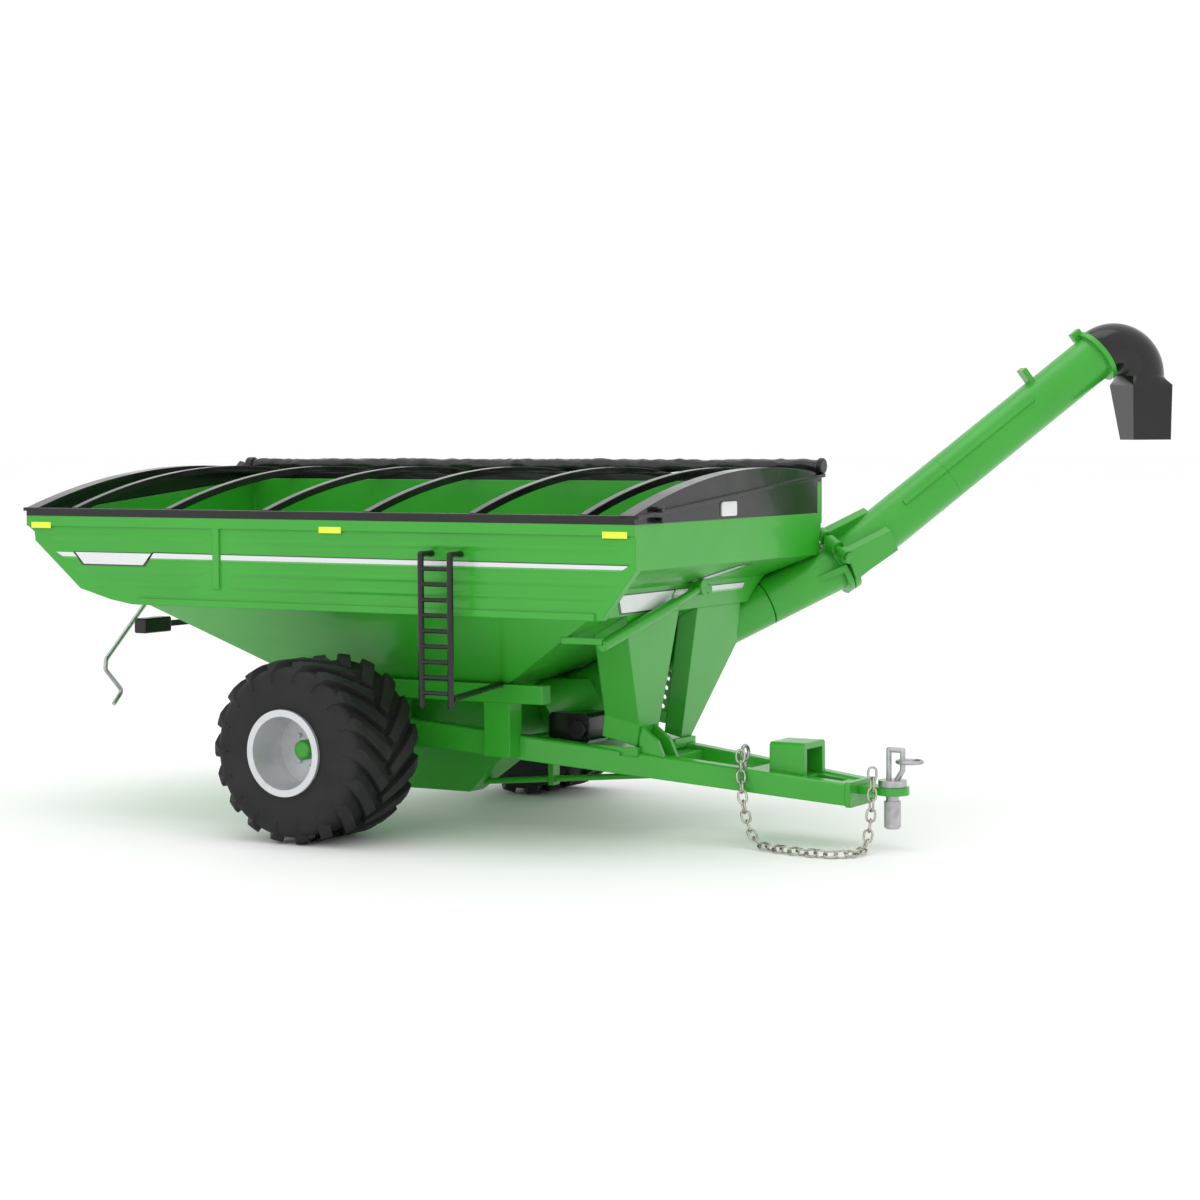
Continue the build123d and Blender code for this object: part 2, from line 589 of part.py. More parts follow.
with BuildPart() as hitch_eye:
    with BuildSketch(Plane.XY.offset(EYE_BOTTOM)):
        rectangle(BEAM_FRONT_X + END_PLATE, EYE_X, -1.7, 1.7)
        with Locations((EYE_X, 0)):
            Circle(EYE_RADIUS)
        with Locations((EYE_X, 0)):
            Circle(PIN_SEAT_RADIUS + PIN_FIT, mode=Mode.SUBTRACT)
    extrude(amount=EYE_THICKNESS)
finish("hitch_eye", hitch_eye)

PIN_HEAD_Z = EYE_BOTTOM + EYE_THICKNESS + 0.05
HANDLE_RADIUS = 0.42
with BuildPart() as drawpin:
    rod((EYE_X, 0, PIN_BOTTOM), (EYE_X, 0, PIN_HEAD_Z), PIN_RADIUS)
    rod((EYE_X, 0, PIN_HEAD_Z), (EYE_X, 0, PIN_HEAD_Z + 1.0), PIN_RADIUS + 0.9)
    chamfer(drawpin.edges().filter_by(GeomType.CIRCLE).group_by(Axis.Z)[0], 0.3)
    # the shank is stepped: a groove under the eye, and a thicker seat inside it
    rod((EYE_X, 0, EYE_BOTTOM - 1.0), (EYE_X, 0, EYE_BOTTOM - 0.2), PIN_RADIUS + 1, Mode.SUBTRACT)
    rod((EYE_X, 0, EYE_BOTTOM - 1.0), (EYE_X, 0, EYE_BOTTOM - 0.2), PIN_RADIUS - 0.3)
    rod((EYE_X, 0, EYE_BOTTOM - 0.2), (EYE_X, 0, PIN_HEAD_Z), PIN_SEAT_RADIUS)
    handle = (
        (EYE_X - 0.6, 0, PIN_HEAD_Z + 0.8),
        (EYE_X - 0.6, 0, 15.3),
        (EYE_X + 1.7, 0, 15.3),
        (EYE_X + 1.7, 0, 12.2),
        (EYE_X + 0.6, 0, PIN_HEAD_Z + 0.8),
    )
    for start, end in zip(handle, handle[1:]):
        rod(start, end, HANDLE_RADIUS)
    with Locations(*handle[1:4]):
        Sphere(HANDLE_RADIUS)
finish("drawpin", drawpin)

RING_RADIUS = 1.9
RING_WIRE = 0.3
with BuildPart() as pin_ring:
    with Locations((EYE_X + 1.7 - HANDLE_RADIUS + RING_RADIUS - RING_WIRE, 0, 13.6)):
        Torus(RING_RADIUS, RING_WIRE)
    add(drawpin.part, mode=Mode.SUBTRACT)
finish("pin_ring", pin_ring)

EYE_BOLT = (TONGUE_REAR_X, -5.2, 14.1)
with BuildPart() as chain_eye_bolt:
    with Locations(Plane(origin=EYE_BOLT, z_dir=(1, 0, 0))):
        Torus(1.15, 0.28)
    rod((EYE_BOLT[0], EYE_BOLT[1], 11.0), (EYE_BOLT[0], EYE_BOLT[1], EYE_BOLT[2] - 1.15), 0.35)
    for beam in beams.values():
        add(beam.part, mode=Mode.SUBTRACT)
finish("chain_eye_bolt", chain_eye_bolt)

# --- safety chain, drawn as one cord -------------------------------------------------------
CHAIN_RADIUS = 0.6
CHAIN_POINTS = [
    (61.7, -7.2, 13.8),
    (63.0, -9.6, 0.65),
    (74.5, -13.9, 0.65),
    (83.2, -13.6, 0.65),
    (83.0, -4.6, 0.65),
    (82.9, -4.3, 12.0),
]


def chain_radii(points):
    """Bend radius at each inner point of the cord, from its two neighbouring runs."""
    radii = []
    for before, here, after in zip(points, points[1:], points[2:]):
        run_in = Vector(*here) - Vector(*before)
        run_out = Vector(*after) - Vector(*here)
        turn = radians(run_in.get_angle(run_out))
        radii.append(0.45 * min(run_in.length, run_out.length) / tan(turn / 2))
    return radii


bend_radii = chain_radii(CHAIN_POINTS)
print("safety_chain bend radii", [round(radius, 2) for radius in bend_radii])
with BuildPart() as safety_chain:
    with BuildLine() as chain_line:
        FilletPolyline(*CHAIN_POINTS, radius=bend_radii)
    with BuildSketch(Plane(origin=chain_line.line @ 0, z_dir=chain_line.line % 0)):
        Circle(CHAIN_RADIUS)
    sweep()
chain_length = sum(edge.length for edge in chain_line.line.edges())
section = pi * CHAIN_RADIUS**2 * chain_length
print("safety_chain volume over section by length", round(safety_chain.part.volume / section, 4))
finish("safety_chain", safety_chain)

# --- front pillars ------------------------------------------------------------------------
PILLAR_FOOT = (44.0, 14.5)
PILLAR_HEAD = (48.8, 36.0)
PILLAR_THICKNESS = 1.0
PILLAR_FLANGE = 3.2               # depth of the left pillar's return along its inner edge
tilt = atan2(PILLAR_HEAD[0] - PILLAR_FOOT[0], PILLAR_HEAD[1] - PILLAR_FOOT[1])
PILLAR_PLANE = Plane(
    origin=(PILLAR_FOOT[0], 0, PILLAR_FOOT[1]), x_dir=(0, 1, 0), z_dir=(cos(tilt), 0, -sin(tilt))
)
PILLAR_TALL = (PILLAR_HEAD[1] - PILLAR_FOOT[1]) / cos(tilt)
RIGHT_PILLAR = [(-19.8, PILLAR_TALL), (-18.0, 17.9), (-9.4, 3.6), (-8.8, 0.0)]
LEFT_PILLAR = [(17.4, PILLAR_TALL), (19.2, 15.5), (9.2, 0.0)]

with BuildPart() as pillar_feet:
    for side in (-1, 1):
        low, high = sorted((side * 2.7, side * 9.6))
        block((35.2, low, 13.0), (44.6, high, PILLAR_FOOT[1]))
    for beam in beams.values():
        add(beam.part, mode=Mode.SUBTRACT)
    add(crosses["front_cross_member"].part, mode=Mode.SUBTRACT)
finish("pillar_feet", pillar_feet)

with BuildPart() as right_pillar:
    with BuildSketch(PILLAR_PLANE):
        Polygon(*RIGHT_PILLAR, (-2.7, 0.0), (-3.0, 11.3), (-3.5, PILLAR_TALL), align=None)
    extrude(amount=-PILLAR_THICKNESS)
    with BuildSketch(PILLAR_PLANE):
        inset = [(y + 1.0, rise) for y, rise in reversed(RIGHT_PILLAR)]
        Polygon(*RIGHT_PILLAR, *inset, align=None)
    extrude(amount=-6.4)
    block((30, -30, 0), (60, 30, PILLAR_FOOT[1]), Mode.SUBTRACT)
    add(tank_envelope.part, mode=Mode.SUBTRACT)
finish("right_pillar", right_pillar)

with BuildPart() as left_pillar:
    with BuildSketch(PILLAR_PLANE):
        Polygon(*LEFT_PILLAR, (5.8, 0.0), (2.7, PILLAR_TALL), align=None)
    extrude(amount=-PILLAR_THICKNESS)
    with BuildSketch(PILLAR_PLANE):
        Polygon((5.8, 0.0), (6.8, 0.0), (3.7, PILLAR_TALL), (2.7, PILLAR_TALL), align=None)
    extrude(amount=-PILLAR_FLANGE)
    block((30, -30, 0), (60, 30, PILLAR_FOOT[1]), Mode.SUBTRACT)
    rod(FOOT, tunnel_end, TUNNEL_RADIUS, Mode.SUBTRACT)
    add(tank_envelope.part, mode=Mode.SUBTRACT)
finish("left_pillar", left_pillar)

with BuildPart() as lock_strip:
    with BuildSketch(PILLAR_PLANE.offset(-PILLAR_FLANGE)):
        rectangle(5.6, 6.2, 1.6, 9.8)
    extrude(amount=-2.2)
    with Locations(PILLAR_PLANE.offset(-PILLAR_FLANGE)):
        with Locations(*[(5.9, 2.6 + 1.55 * step, -1.2) for step in range(5)]):
            Cylinder(0.42, 3, rotation=(0, 90, 0), mode=Mode.SUBTRACT)
    add(left_pillar.part, mode=Mode.SUBTRACT)
    # tab that runs forward to the return
    with BuildSketch(PILLAR_PLANE.offset(-PILLAR_FLANGE)):
        rectangle(5.2, 5.8, 1.6, 3.6)
    extrude(amount=-1.0)
finish("lock_strip", lock_strip)

with BuildPart() as pillar_gussets:
    for reach in (4.2, 8.2):
        with BuildSketch(Plane.XZ.offset(reach - 0.4)):
            Polygon((43.0, 13.0), (43.8, 18.4), (47.6, 15.6), (49.0, 12.6), align=None)
        extrude(amount=0.8)
    for piece in (right_pillar, left_pillar, pillar_feet, *beams.values(), *crosses.values()):
        add(piece.part, mode=Mode.SUBTRACT)
    block((30, -30, 0), (44.3, 30, 40), Mode.SUBTRACT)
finish("pillar_gussets", pillar_gussets)

# --- lower auger and its boot --------------------------------------------------------------
seam = Vector(*FOOT) + LOWER_DIR * SEAM_AT
with BuildPart() as lower_auger_tube:
    rod(FOOT, seam, AUGER_RADIUS)
    chamfer(lower_auger_tube.edges().filter_by(GeomType.CIRCLE).sort_by(Axis.Z)[-1], SEAM_CHAMFER)
finish("lower_auger_tube", lower_auger_tube)

with BuildPart() as auger_boot:
    rod((Vector(*FOOT) - LOWER_DIR * 6.0), (Vector(*FOOT) + LOWER_DIR * 2.6), 5.2)
    for piece in (lower_auger_tube, tank_envelope, sump_body, *cradles.values(), *crosses.values()):
        add(piece.part, mode=Mode.SUBTRACT)
    block((0, -20, HOPPER_BOTTOM), (60, 20, 60), Mode.SUBTRACT)
finish("auger_boot", auger_boot)

with BuildPart() as auger_gearbox:
    block((26.0, -6.0, 14.0), (33.6, 0.4, 18.9))
    chamfer(auger_gearbox.edges().filter_by(Axis.Y), 0.6)
    rod((31.8, -7.0, 16.4), (31.8, -5.9, 16.4), 1.5)
    for piece in (lower_auger_tube, auger_boot):
        add(piece.part, mode=Mode.SUBTRACT)
finish("auger_gearbox", auger_gearbox)

DRIVE_RADIUS = 0.5
drive_start = (3.8, 0, 5.4)
drive_end = (50.0, 0, 9.6)
with BuildPart() as drive_tube:
    rod(drive_start, drive_end, DRIVE_RADIUS)
    add(sump_trough.part, mode=Mode.SUBTRACT)
finish("drive_tube", drive_tube)
with BuildPart() as drive_hanger:
    block((22.7, -1.0, 6.2), (23.7, 1.0, 13.0))
    for piece in (drive_tube, *crosses.values()):
        add(piece.part, mode=Mode.SUBTRACT)
finish("drive_hanger", drive_hanger)

# --- tilt ram on the tank front ------------------------------------------------------------
RAM_X = 50.6
with BuildPart() as ram_lugs:
    block((40.9, -26.6, 32.0), (48.2, -25.9, 33.0))
    rod((47.0, -0.4, 39.6), (RAM_X + 1.2, -0.4, 39.6), 1.3)
    rod((47.0, 2.4, 39.1), (RAM_X + 0.6, 2.4, 39.1), 0.8)
    for piece in (tank_envelope, right_pillar, left_pillar):
        add(piece.part, mode=Mode.SUBTRACT)
finish("ram_lugs", ram_lugs)
with BuildPart() as ram_barrel:
    rod((RAM_X - 2.6, -26.2, 31.8), (RAM_X - 0.1, -8.0, 37.3), 0.95)
    add(ram_lugs.part, mode=Mode.SUBTRACT)
    for piece in (tank_envelope, right_pillar):
        add(piece.part, mode=Mode.SUBTRACT)
finish("ram_barrel", ram_barrel)
with BuildPart() as ram_rod:
    rod((RAM_X - 0.1, -8.2, 37.24), (RAM_X + 0.6, -0.4, 39.6), 0.6)
    for piece in (ram_barrel, ram_lugs, tank_shell):
        add(piece.part, mode=Mode.SUBTRACT)
finish("ram_rod", ram_rod)

# --- auger hinge --------------------------------------------------------------------------
# each knuckle's start and end along the pin, from the hinge centre
FAR_KNUCKLE = (1.6, 3.2)
MID_KNUCKLE = (-2.2, 0.4)
NEAR_KNUCKLE = (-5.4, -3.8)


def along_pin(distance):
    """Point on the hinge pin's axis."""
    return (HINGE_CENTRE + PIN_DIR * distance)


with BuildPart() as lower_hinge_casting:
    rod(seam, (KINK + LOWER_DIR * 4), AUGER_RADIUS)
    rod((KINK - PARTING_DIR * FLANGE_THICKNESS), KINK, FLANGE_RADIUS)
    rod(along_pin(MID_KNUCKLE[0]), along_pin(MID_KNUCKLE[1]), KNUCKLE_RADIUS)
    web = ((MID_KNUCKLE[0] + MID_KNUCKLE[1]) / 2, HINGE_OFFSET - 1.4)
    with BuildSketch(HINGE_PLANE):
        with Locations(web):
            Rectangle(MID_KNUCKLE[1] - MID_KNUCKLE[0], 2.8)
    extrude(amount=-KNUCKLE_RADIUS)
    with BuildSketch(Plane(origin=KINK, x_dir=-LOWER_DIR, z_dir=LOWER_DIR.cross(ACROSS))):
        Polygon((0.5, 3.0), (0.5, 5.9), (6.5, 3.6), (6.5, 3.0), align=None)
    extrude(amount=0.6, both=True)
    with BuildSketch(HINGE_PLANE.offset(-MATING_GAP)):
        Rectangle(30, 30)
    extrude(amount=20, mode=Mode.SUBTRACT)
    rod(along_pin(MID_KNUCKLE[0]), along_pin(MID_KNUCKLE[1]), KNUCKLE_RADIUS)
    for reach in (FAR_KNUCKLE, NEAR_KNUCKLE):
        relief = KNUCKLE_RADIUS + KNUCKLE_GAP * 2
        rod(along_pin(reach[0] - 0.3), along_pin(reach[1] + 0.3), relief, Mode.SUBTRACT)
    rod(along_pin(-8), along_pin(8), HINGE_PIN_RADIUS, Mode.SUBTRACT)
finish("lower_hinge_casting", lower_hinge_casting)

with BuildPart() as hinge_pin:
    rod(along_pin(NEAR_KNUCKLE[0] - 0.2), along_pin(FAR_KNUCKLE[1] + 0.2), HINGE_PIN_RADIUS)
    rod(along_pin(NEAR_KNUCKLE[0] - 0.7), along_pin(NEAR_KNUCKLE[0] - 0.2), HINGE_PIN_RADIUS + 0.35)
finish("hinge_pin", hinge_pin)

sleeve_end = KINK + UPPER_DIR * SLEEVE_LENGTH
STRAP_LENGTH = 9.0
fin_up = UPPER_DIR.cross(ACROSS)
rib_out = (fin_up * 0.5 - ACROSS * 0.866).normalized()
RIB_START = 14.5
RIB_LENGTH = 29.0


def tube_rib(start, end):
    """Stretch of the raised rib along the near side of the upper tube."""
    with Locations(Plane(origin=KINK + UPPER_DIR * start, x_dir=UPPER_DIR, z_dir=rib_out)):
        with Locations(((end - start) / 2, 0, AUGER_RADIUS - 0.2)):
            Box(end - start, 0.9, 1.0)


with BuildPart() as upper_hinge_casting:
    rod((KINK - UPPER_DIR * 4), sleeve_end, AUGER_RADIUS)
    tube_rib(RIB_START, SLEEVE_LENGTH)
    rod(KINK, (KINK + PARTING_DIR * FLANGE_THICKNESS), FLANGE_RADIUS)
    for reach in (FAR_KNUCKLE, NEAR_KNUCKLE):
        middle = (reach[0] + reach[1]) / 2
        rod(along_pin(reach[0]), along_pin(reach[1]), KNUCKLE_RADIUS)
        strap_out = HINGE_PLANE.y_dir
        strap_along = (UPPER_DIR - strap_out * UPPER_DIR.dot(strap_out)).normalized()
        strap_middle = Plane(
            origin=KINK + PIN_DIR * middle, x_dir=strap_along, z_dir=strap_along.cross(strap_out)
        )
        with BuildSketch(strap_middle):
            Polygon(
                (0, 0),
                (STRAP_LENGTH, 0),
                (STRAP_LENGTH, AUGER_RADIUS + 0.5),
                (1.2, HINGE_OFFSET + 0.6),
                (0, HINGE_OFFSET + 0.8),
                align=None,
            )
        extrude(amount=(reach[1] - reach[0]) / 2, both=True)
    with BuildSketch(HINGE_PLANE.offset(MATING_GAP)):
        Rectangle(40, 40)
    extrude(amount=-30, mode=Mode.SUBTRACT)
    for reach in (FAR_KNUCKLE, NEAR_KNUCKLE):
        rod(along_pin(reach[0]), along_pin(reach[1]), KNUCKLE_RADIUS)
    relief = KNUCKLE_RADIUS + KNUCKLE_GAP * 2
    rod(along_pin(MID_KNUCKLE[0] - 0.3), along_pin(MID_KNUCKLE[1] + 0.3), relief, Mode.SUBTRACT)
    rod(along_pin(-8), along_pin(8), HINGE_PIN_RADIUS + RUNNING_CLEARANCE, Mode.SUBTRACT)
    rod((KINK + UPPER_DIR * 6), (KINK + UPPER_DIR * 60), TUBE_BORE, Mode.SUBTRACT)
finish("upper_hinge_casting", upper_hinge_casting)

FIN_AT = 46.0
with BuildPart() as upper_auger_tube:
    rod(sleeve_end, TUBE_END, AUGER_RADIUS)
    rod((TUBE_END - UPPER_DIR * 0.9), TUBE_END, AUGER_RADIUS + 0.8)
    tube_rib(SLEEVE_LENGTH, RIB_START + RIB_LENGTH)
    with Locations(Plane(origin=KINK + UPPER_DIR * FIN_AT, x_dir=UPPER_DIR, z_dir=fin_up)):
        with Locations((0, 0, AUGER_RADIUS + 0.9)):
            Box(0.9, 2.6, 3.0)
    with Locations(Plane(origin=TUBE_END - UPPER_DIR * 0.9, x_dir=UPPER_DIR, z_dir=fin_up)):
        with Locations((0.0, 1.0, AUGER_RADIUS + 0.7)):
            Box(1.8, 1.4, 1.6)
    rod(sleeve_end, TUBE_END, TUBE_BORE, Mode.SUBTRACT)
    rod(
        (TUBE_END - UPPER_DIR * (SPIGOT_LENGTH + 0.15)),
        (TUBE_END + UPPER_DIR * 3),
        SPIGOT_RADIUS + RUNNING_CLEARANCE,
        Mode.SUBTRACT,
    )
finish("upper_auger_tube", upper_auger_tube)

# --- spout --------------------------------------------------------------------------------
SPOUT_RADIUS = 4.35
CHUTE_DROP = 11.0
CHUTE_SHOULDER = 1.6
LEVEL = Vector(cos(radians(AUGER_HEADING)), sin(radians(AUGER_HEADING)), 0)
SPOUT_START = TUBE_END + UPPER_DIR * 0.12
BEND_CENTRE = SPOUT_START - fin_up * SPOUT_BEND
BEND_END = BEND_CENTRE + LEVEL * SPOUT_BEND
SPOUT_PLANE = Plane(origin=SPOUT_START, x_dir=ACROSS, z_dir=UPPER_DIR)
CHUTE_PLANE = Plane(origin=BEND_END, x_dir=LEVEL, z_dir=(0, 0, -1))
with BuildPart() as spout:
    for elbow, wall, mode in ((0.0, 0.0, Mode.ADD), (ELBOW_WALL, CHUTE_WALL, Mode.SUBTRACT)):
        with BuildSketch(SPOUT_PLANE):
            Circle(SPOUT_RADIUS - elbow)
        revolve(
            axis=Axis(BEND_CENTRE, ACROSS),
            revolution_arc=90 + UPPER_SLOPE,
            mode=mode,
        )
        with BuildSketch(CHUTE_PLANE):
            Circle(SPOUT_RADIUS - elbow)
        with BuildSketch(CHUTE_PLANE.offset(CHUTE_SHOULDER)):
            rectangle(-3.2 + wall, 4.1 - wall, -4.75 + wall, 4.75 - wall)
        loft(mode=mode)
        with BuildSketch(CHUTE_PLANE.offset(CHUTE_SHOULDER)):
            rectangle(-3.2 + wall, 4.1 - wall, -4.75 + wall, 4.75 - wall)
        with BuildSketch(CHUTE_PLANE.offset(CHUTE_DROP)):
            rectangle(-3.0 + wall, 3.9 - wall, -0.8 + wall, 4.7 - wall)
        loft(mode=mode)
    rod((SPOUT_START - UPPER_DIR * SPIGOT_LENGTH), SPOUT_START, SPIGOT_RADIUS)
    rod(
        (SPOUT_START - UPPER_DIR * (SPIGOT_LENGTH + 1)),
        (SPOUT_START + UPPER_DIR * 0.5),
        SPIGOT_RADIUS - 0.5,
        Mode.SUBTRACT,
    )
finish("spout", spout)

# --- wheels -------------------------------------------------------------------------------
CARCASS_RADIUS = TYRE_RADIUS - LUG_HEIGHT
for hand, side in (("right", -1), ("left", 1)):

    def cross_car(inner, outer, radius, mode=Mode.ADD):
        """Disc about the axle between two distances from the centre line."""
        rod((0, side * inner, AXLE_Z), (0, side * outer, AXLE_Z), radius, mode)

    with BuildPart() as rim:
        cross_car(TYRE_INNER_Y - 0.3, TYRE_OUTER_Y + 0.3, RIM_SEAT_RADIUS)
        cross_car(TYRE_OUTER_Y - 0.3, TYRE_OUTER_Y + 0.3, RIM_RADIUS)
        cross_car(TYRE_INNER_Y - 0.3, TYRE_INNER_Y + 0.3, RIM_RADIUS)
        cross_car(TYRE_INNER_Y - 1, DISC_Y, RIM_SEAT_RADIUS - RIM_WALL, Mode.SUBTRACT)
        cross_car(DISC_Y + DISC_THICKNESS, TYRE_OUTER_Y + 1, RIM_SEAT_RADIUS - RIM_WALL, Mode.SUBTRACT)
        cross_car(DISC_Y - 1.4, DISC_Y, HUB_RADIUS + 0.6)
        cross_car(20, 50, AXLE_RADIUS + RUNNING_CLEARANCE, Mode.SUBTRACT)
    finish(f"{hand}_rim", rim)

    with BuildPart() as tyre:
        with BuildSketch(Plane(origin=(0, 0, AXLE_Z), x_dir=(0, 1, 0), z_dir=(1, 0, 0))):
            low, high = sorted((side * (TYRE_INNER_Y + 0.3), side * (TYRE_OUTER_Y - 0.3)))
            rectangle(low, high, RIM_SEAT_RADIUS, CARCASS_RADIUS)
        revolve(axis=Axis((0, 0, AXLE_Z), (0, 1, 0)))
        shoulder = tyre.edges().filter_by(GeomType.CIRCLE).group_by(SortBy.RADIUS)[-1]
        fillet(shoulder, 1.3)
        for index in range(LUGS_PER_SIDE):
            for row in (-1, 1):
                spin = 360 / LUGS_PER_SIDE * (index + (0.5 if row > 0 else 0))
                centre_y = side * (TYRE_INNER_Y + TYRE_WIDTH / 2) + row * 4.3
                turned = Location((0, centre_y, AXLE_Z), (0, spin, 0))
                with Locations(turned * Location((0, 0, CARCASS_RADIUS - 0.6), (0, 0, row * 38))):
                    Box(1.9, 9.8, 2 * LUG_HEIGHT + 1.6)
        with BuildSketch(Plane(origin=(0, 0, AXLE_Z), x_dir=(0, 1, 0), z_dir=(1, 0, 0))):
            low, high = sorted((side * TYRE_INNER_Y, side * TYRE_OUTER_Y))
            Polygon(
                (low, RIM_SEAT_RADIUS),
                (low, CARCASS_RADIUS - 0.9),
                (low + 0.9, TYRE_RADIUS - 0.35),
                (low + 2.2, TYRE_RADIUS),
                (high - 2.2, TYRE_RADIUS),
                (high - 0.9, TYRE_RADIUS - 0.35),
                (high, CARCASS_RADIUS - 0.9),
                (high, RIM_SEAT_RADIUS),
                align=None,
            )
        revolve(axis=Axis((0, 0, AXLE_Z), (0, 1, 0)), mode=Mode.INTERSECT)
        add(rim.part, mode=Mode.SUBTRACT)
    finish(f"{hand}_tyre", tyre)

    with BuildPart() as hub_cap:
        cross_car(DISC_Y + DISC_THICKNESS, DISC_Y + DISC_THICKNESS + HUB_LENGTH, HUB_RADIUS)
        outermost = hub_cap.edges().filter_by(GeomType.CIRCLE).sort_by(Axis.Y)
        fillet(outermost[-1] if side > 0 else outermost[0], 0.7)
        cross_car(DISC_Y, AXLE_HALF_LENGTH + 0.2, AXLE_RADIUS + RUNNING_CLEARANCE, Mode.SUBTRACT)
    finish(f"{hand}_hub_cap", hub_cap)

    with BuildPart() as wheel_nuts:
        nut_face = side * (DISC_Y + DISC_THICKNESS)
        with Locations(Plane(origin=(0, nut_face, AXLE_Z), z_dir=(0, side, 0))):
            with PolarLocations(NUT_CIRCLE, NUT_COUNT):
                Cylinder(NUT_RADIUS, 0.6, align=(Align.CENTER, Align.CENTER, Align.MIN))
    finish(f"{hand}_wheel_nuts", wheel_nuts)
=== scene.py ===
"""Die-cast 1:64 grain cart: the visible model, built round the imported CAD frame."""
import json
import math

import bmesh
import bpy
from mathutils import Matrix, Vector
from mathutils import noise as lumps


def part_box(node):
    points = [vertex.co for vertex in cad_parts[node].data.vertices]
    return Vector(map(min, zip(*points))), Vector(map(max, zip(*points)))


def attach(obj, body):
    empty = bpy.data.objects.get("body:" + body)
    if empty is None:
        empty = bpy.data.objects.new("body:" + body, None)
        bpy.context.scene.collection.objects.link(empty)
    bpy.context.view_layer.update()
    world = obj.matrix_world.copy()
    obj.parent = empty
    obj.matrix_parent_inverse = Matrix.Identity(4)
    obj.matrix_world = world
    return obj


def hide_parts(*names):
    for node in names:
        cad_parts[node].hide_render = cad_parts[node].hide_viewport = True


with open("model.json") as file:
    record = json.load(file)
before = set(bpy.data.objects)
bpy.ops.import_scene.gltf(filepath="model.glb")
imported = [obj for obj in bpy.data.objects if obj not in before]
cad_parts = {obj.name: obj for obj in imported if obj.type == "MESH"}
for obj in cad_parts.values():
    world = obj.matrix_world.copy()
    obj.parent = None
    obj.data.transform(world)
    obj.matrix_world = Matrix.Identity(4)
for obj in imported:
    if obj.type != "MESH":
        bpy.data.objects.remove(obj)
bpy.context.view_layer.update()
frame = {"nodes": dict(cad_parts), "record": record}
scene = bpy.context.scene
MM = 0.001

# --- camera -------------------------------------------------------------------------------
# A long lens low beside the drawbar, looking back along the right side of the cart.
# It stands 470 mm from the axle's middle, 65 mm above the table, ahead of the cart and to its
# right, and is turned 31 degrees from square to the cart's side.
camera = bpy.data.objects.new("camera", bpy.data.cameras.new("camera"))
scene.collection.objects.link(camera)
right = Vector((0.860, 0.510, -0.005)).normalized()
back = Vector((0.509, -0.858, 0.063)).normalized()
up = back.cross(right).normalized()
right = up.cross(back).normalized()
camera.matrix_world = Matrix.Translation(Vector((262.892, -390.344, 65.107)) * MM) @ Matrix(
    (
        (right.x, up.x, back.x, 0),
        (right.y, up.y, back.y, 0),
        (right.z, up.z, back.z, 0),
        (0, 0, 0, 1),
    )
)
camera.data.sensor_width = 36
camera.data.lens = 83.79
camera.data.shift_x = 0.0039
camera.data.shift_y = 0.0024
camera.data.clip_start = 0.01
camera.data.clip_end = 20
scene.camera = camera

# --- safety chain -------------------------------------------------------------------------
# Bright nickel-plated steel cable chain, hung on the drawbar's eye bolt.
# It drops to the ground, lies in a loose bow and climbs back beside the drawpin.


def tint(material, name, value):
    """Sets one socket of the material's surface shader."""
    shader = material.node_tree.nodes["Principled BSDF"]
    shader.inputs[name].default_value = value


def finish_of(name, base, metal=0.0, rough=0.4, coat=0.0, coat_rough=0.03):
    """A new material with its base values on the surface shader."""
    material = bpy.data.materials.new(name)
    material.use_nodes = True
    tint(material, "Base Color", (*base, 1))
    tint(material, "Metallic", metal)
    tint(material, "Roughness", rough)
    tint(material, "Coat Weight", coat)
    tint(material, "Coat Roughness", coat_rough)
    material.diffuse_color = (*base, 1)
    return material


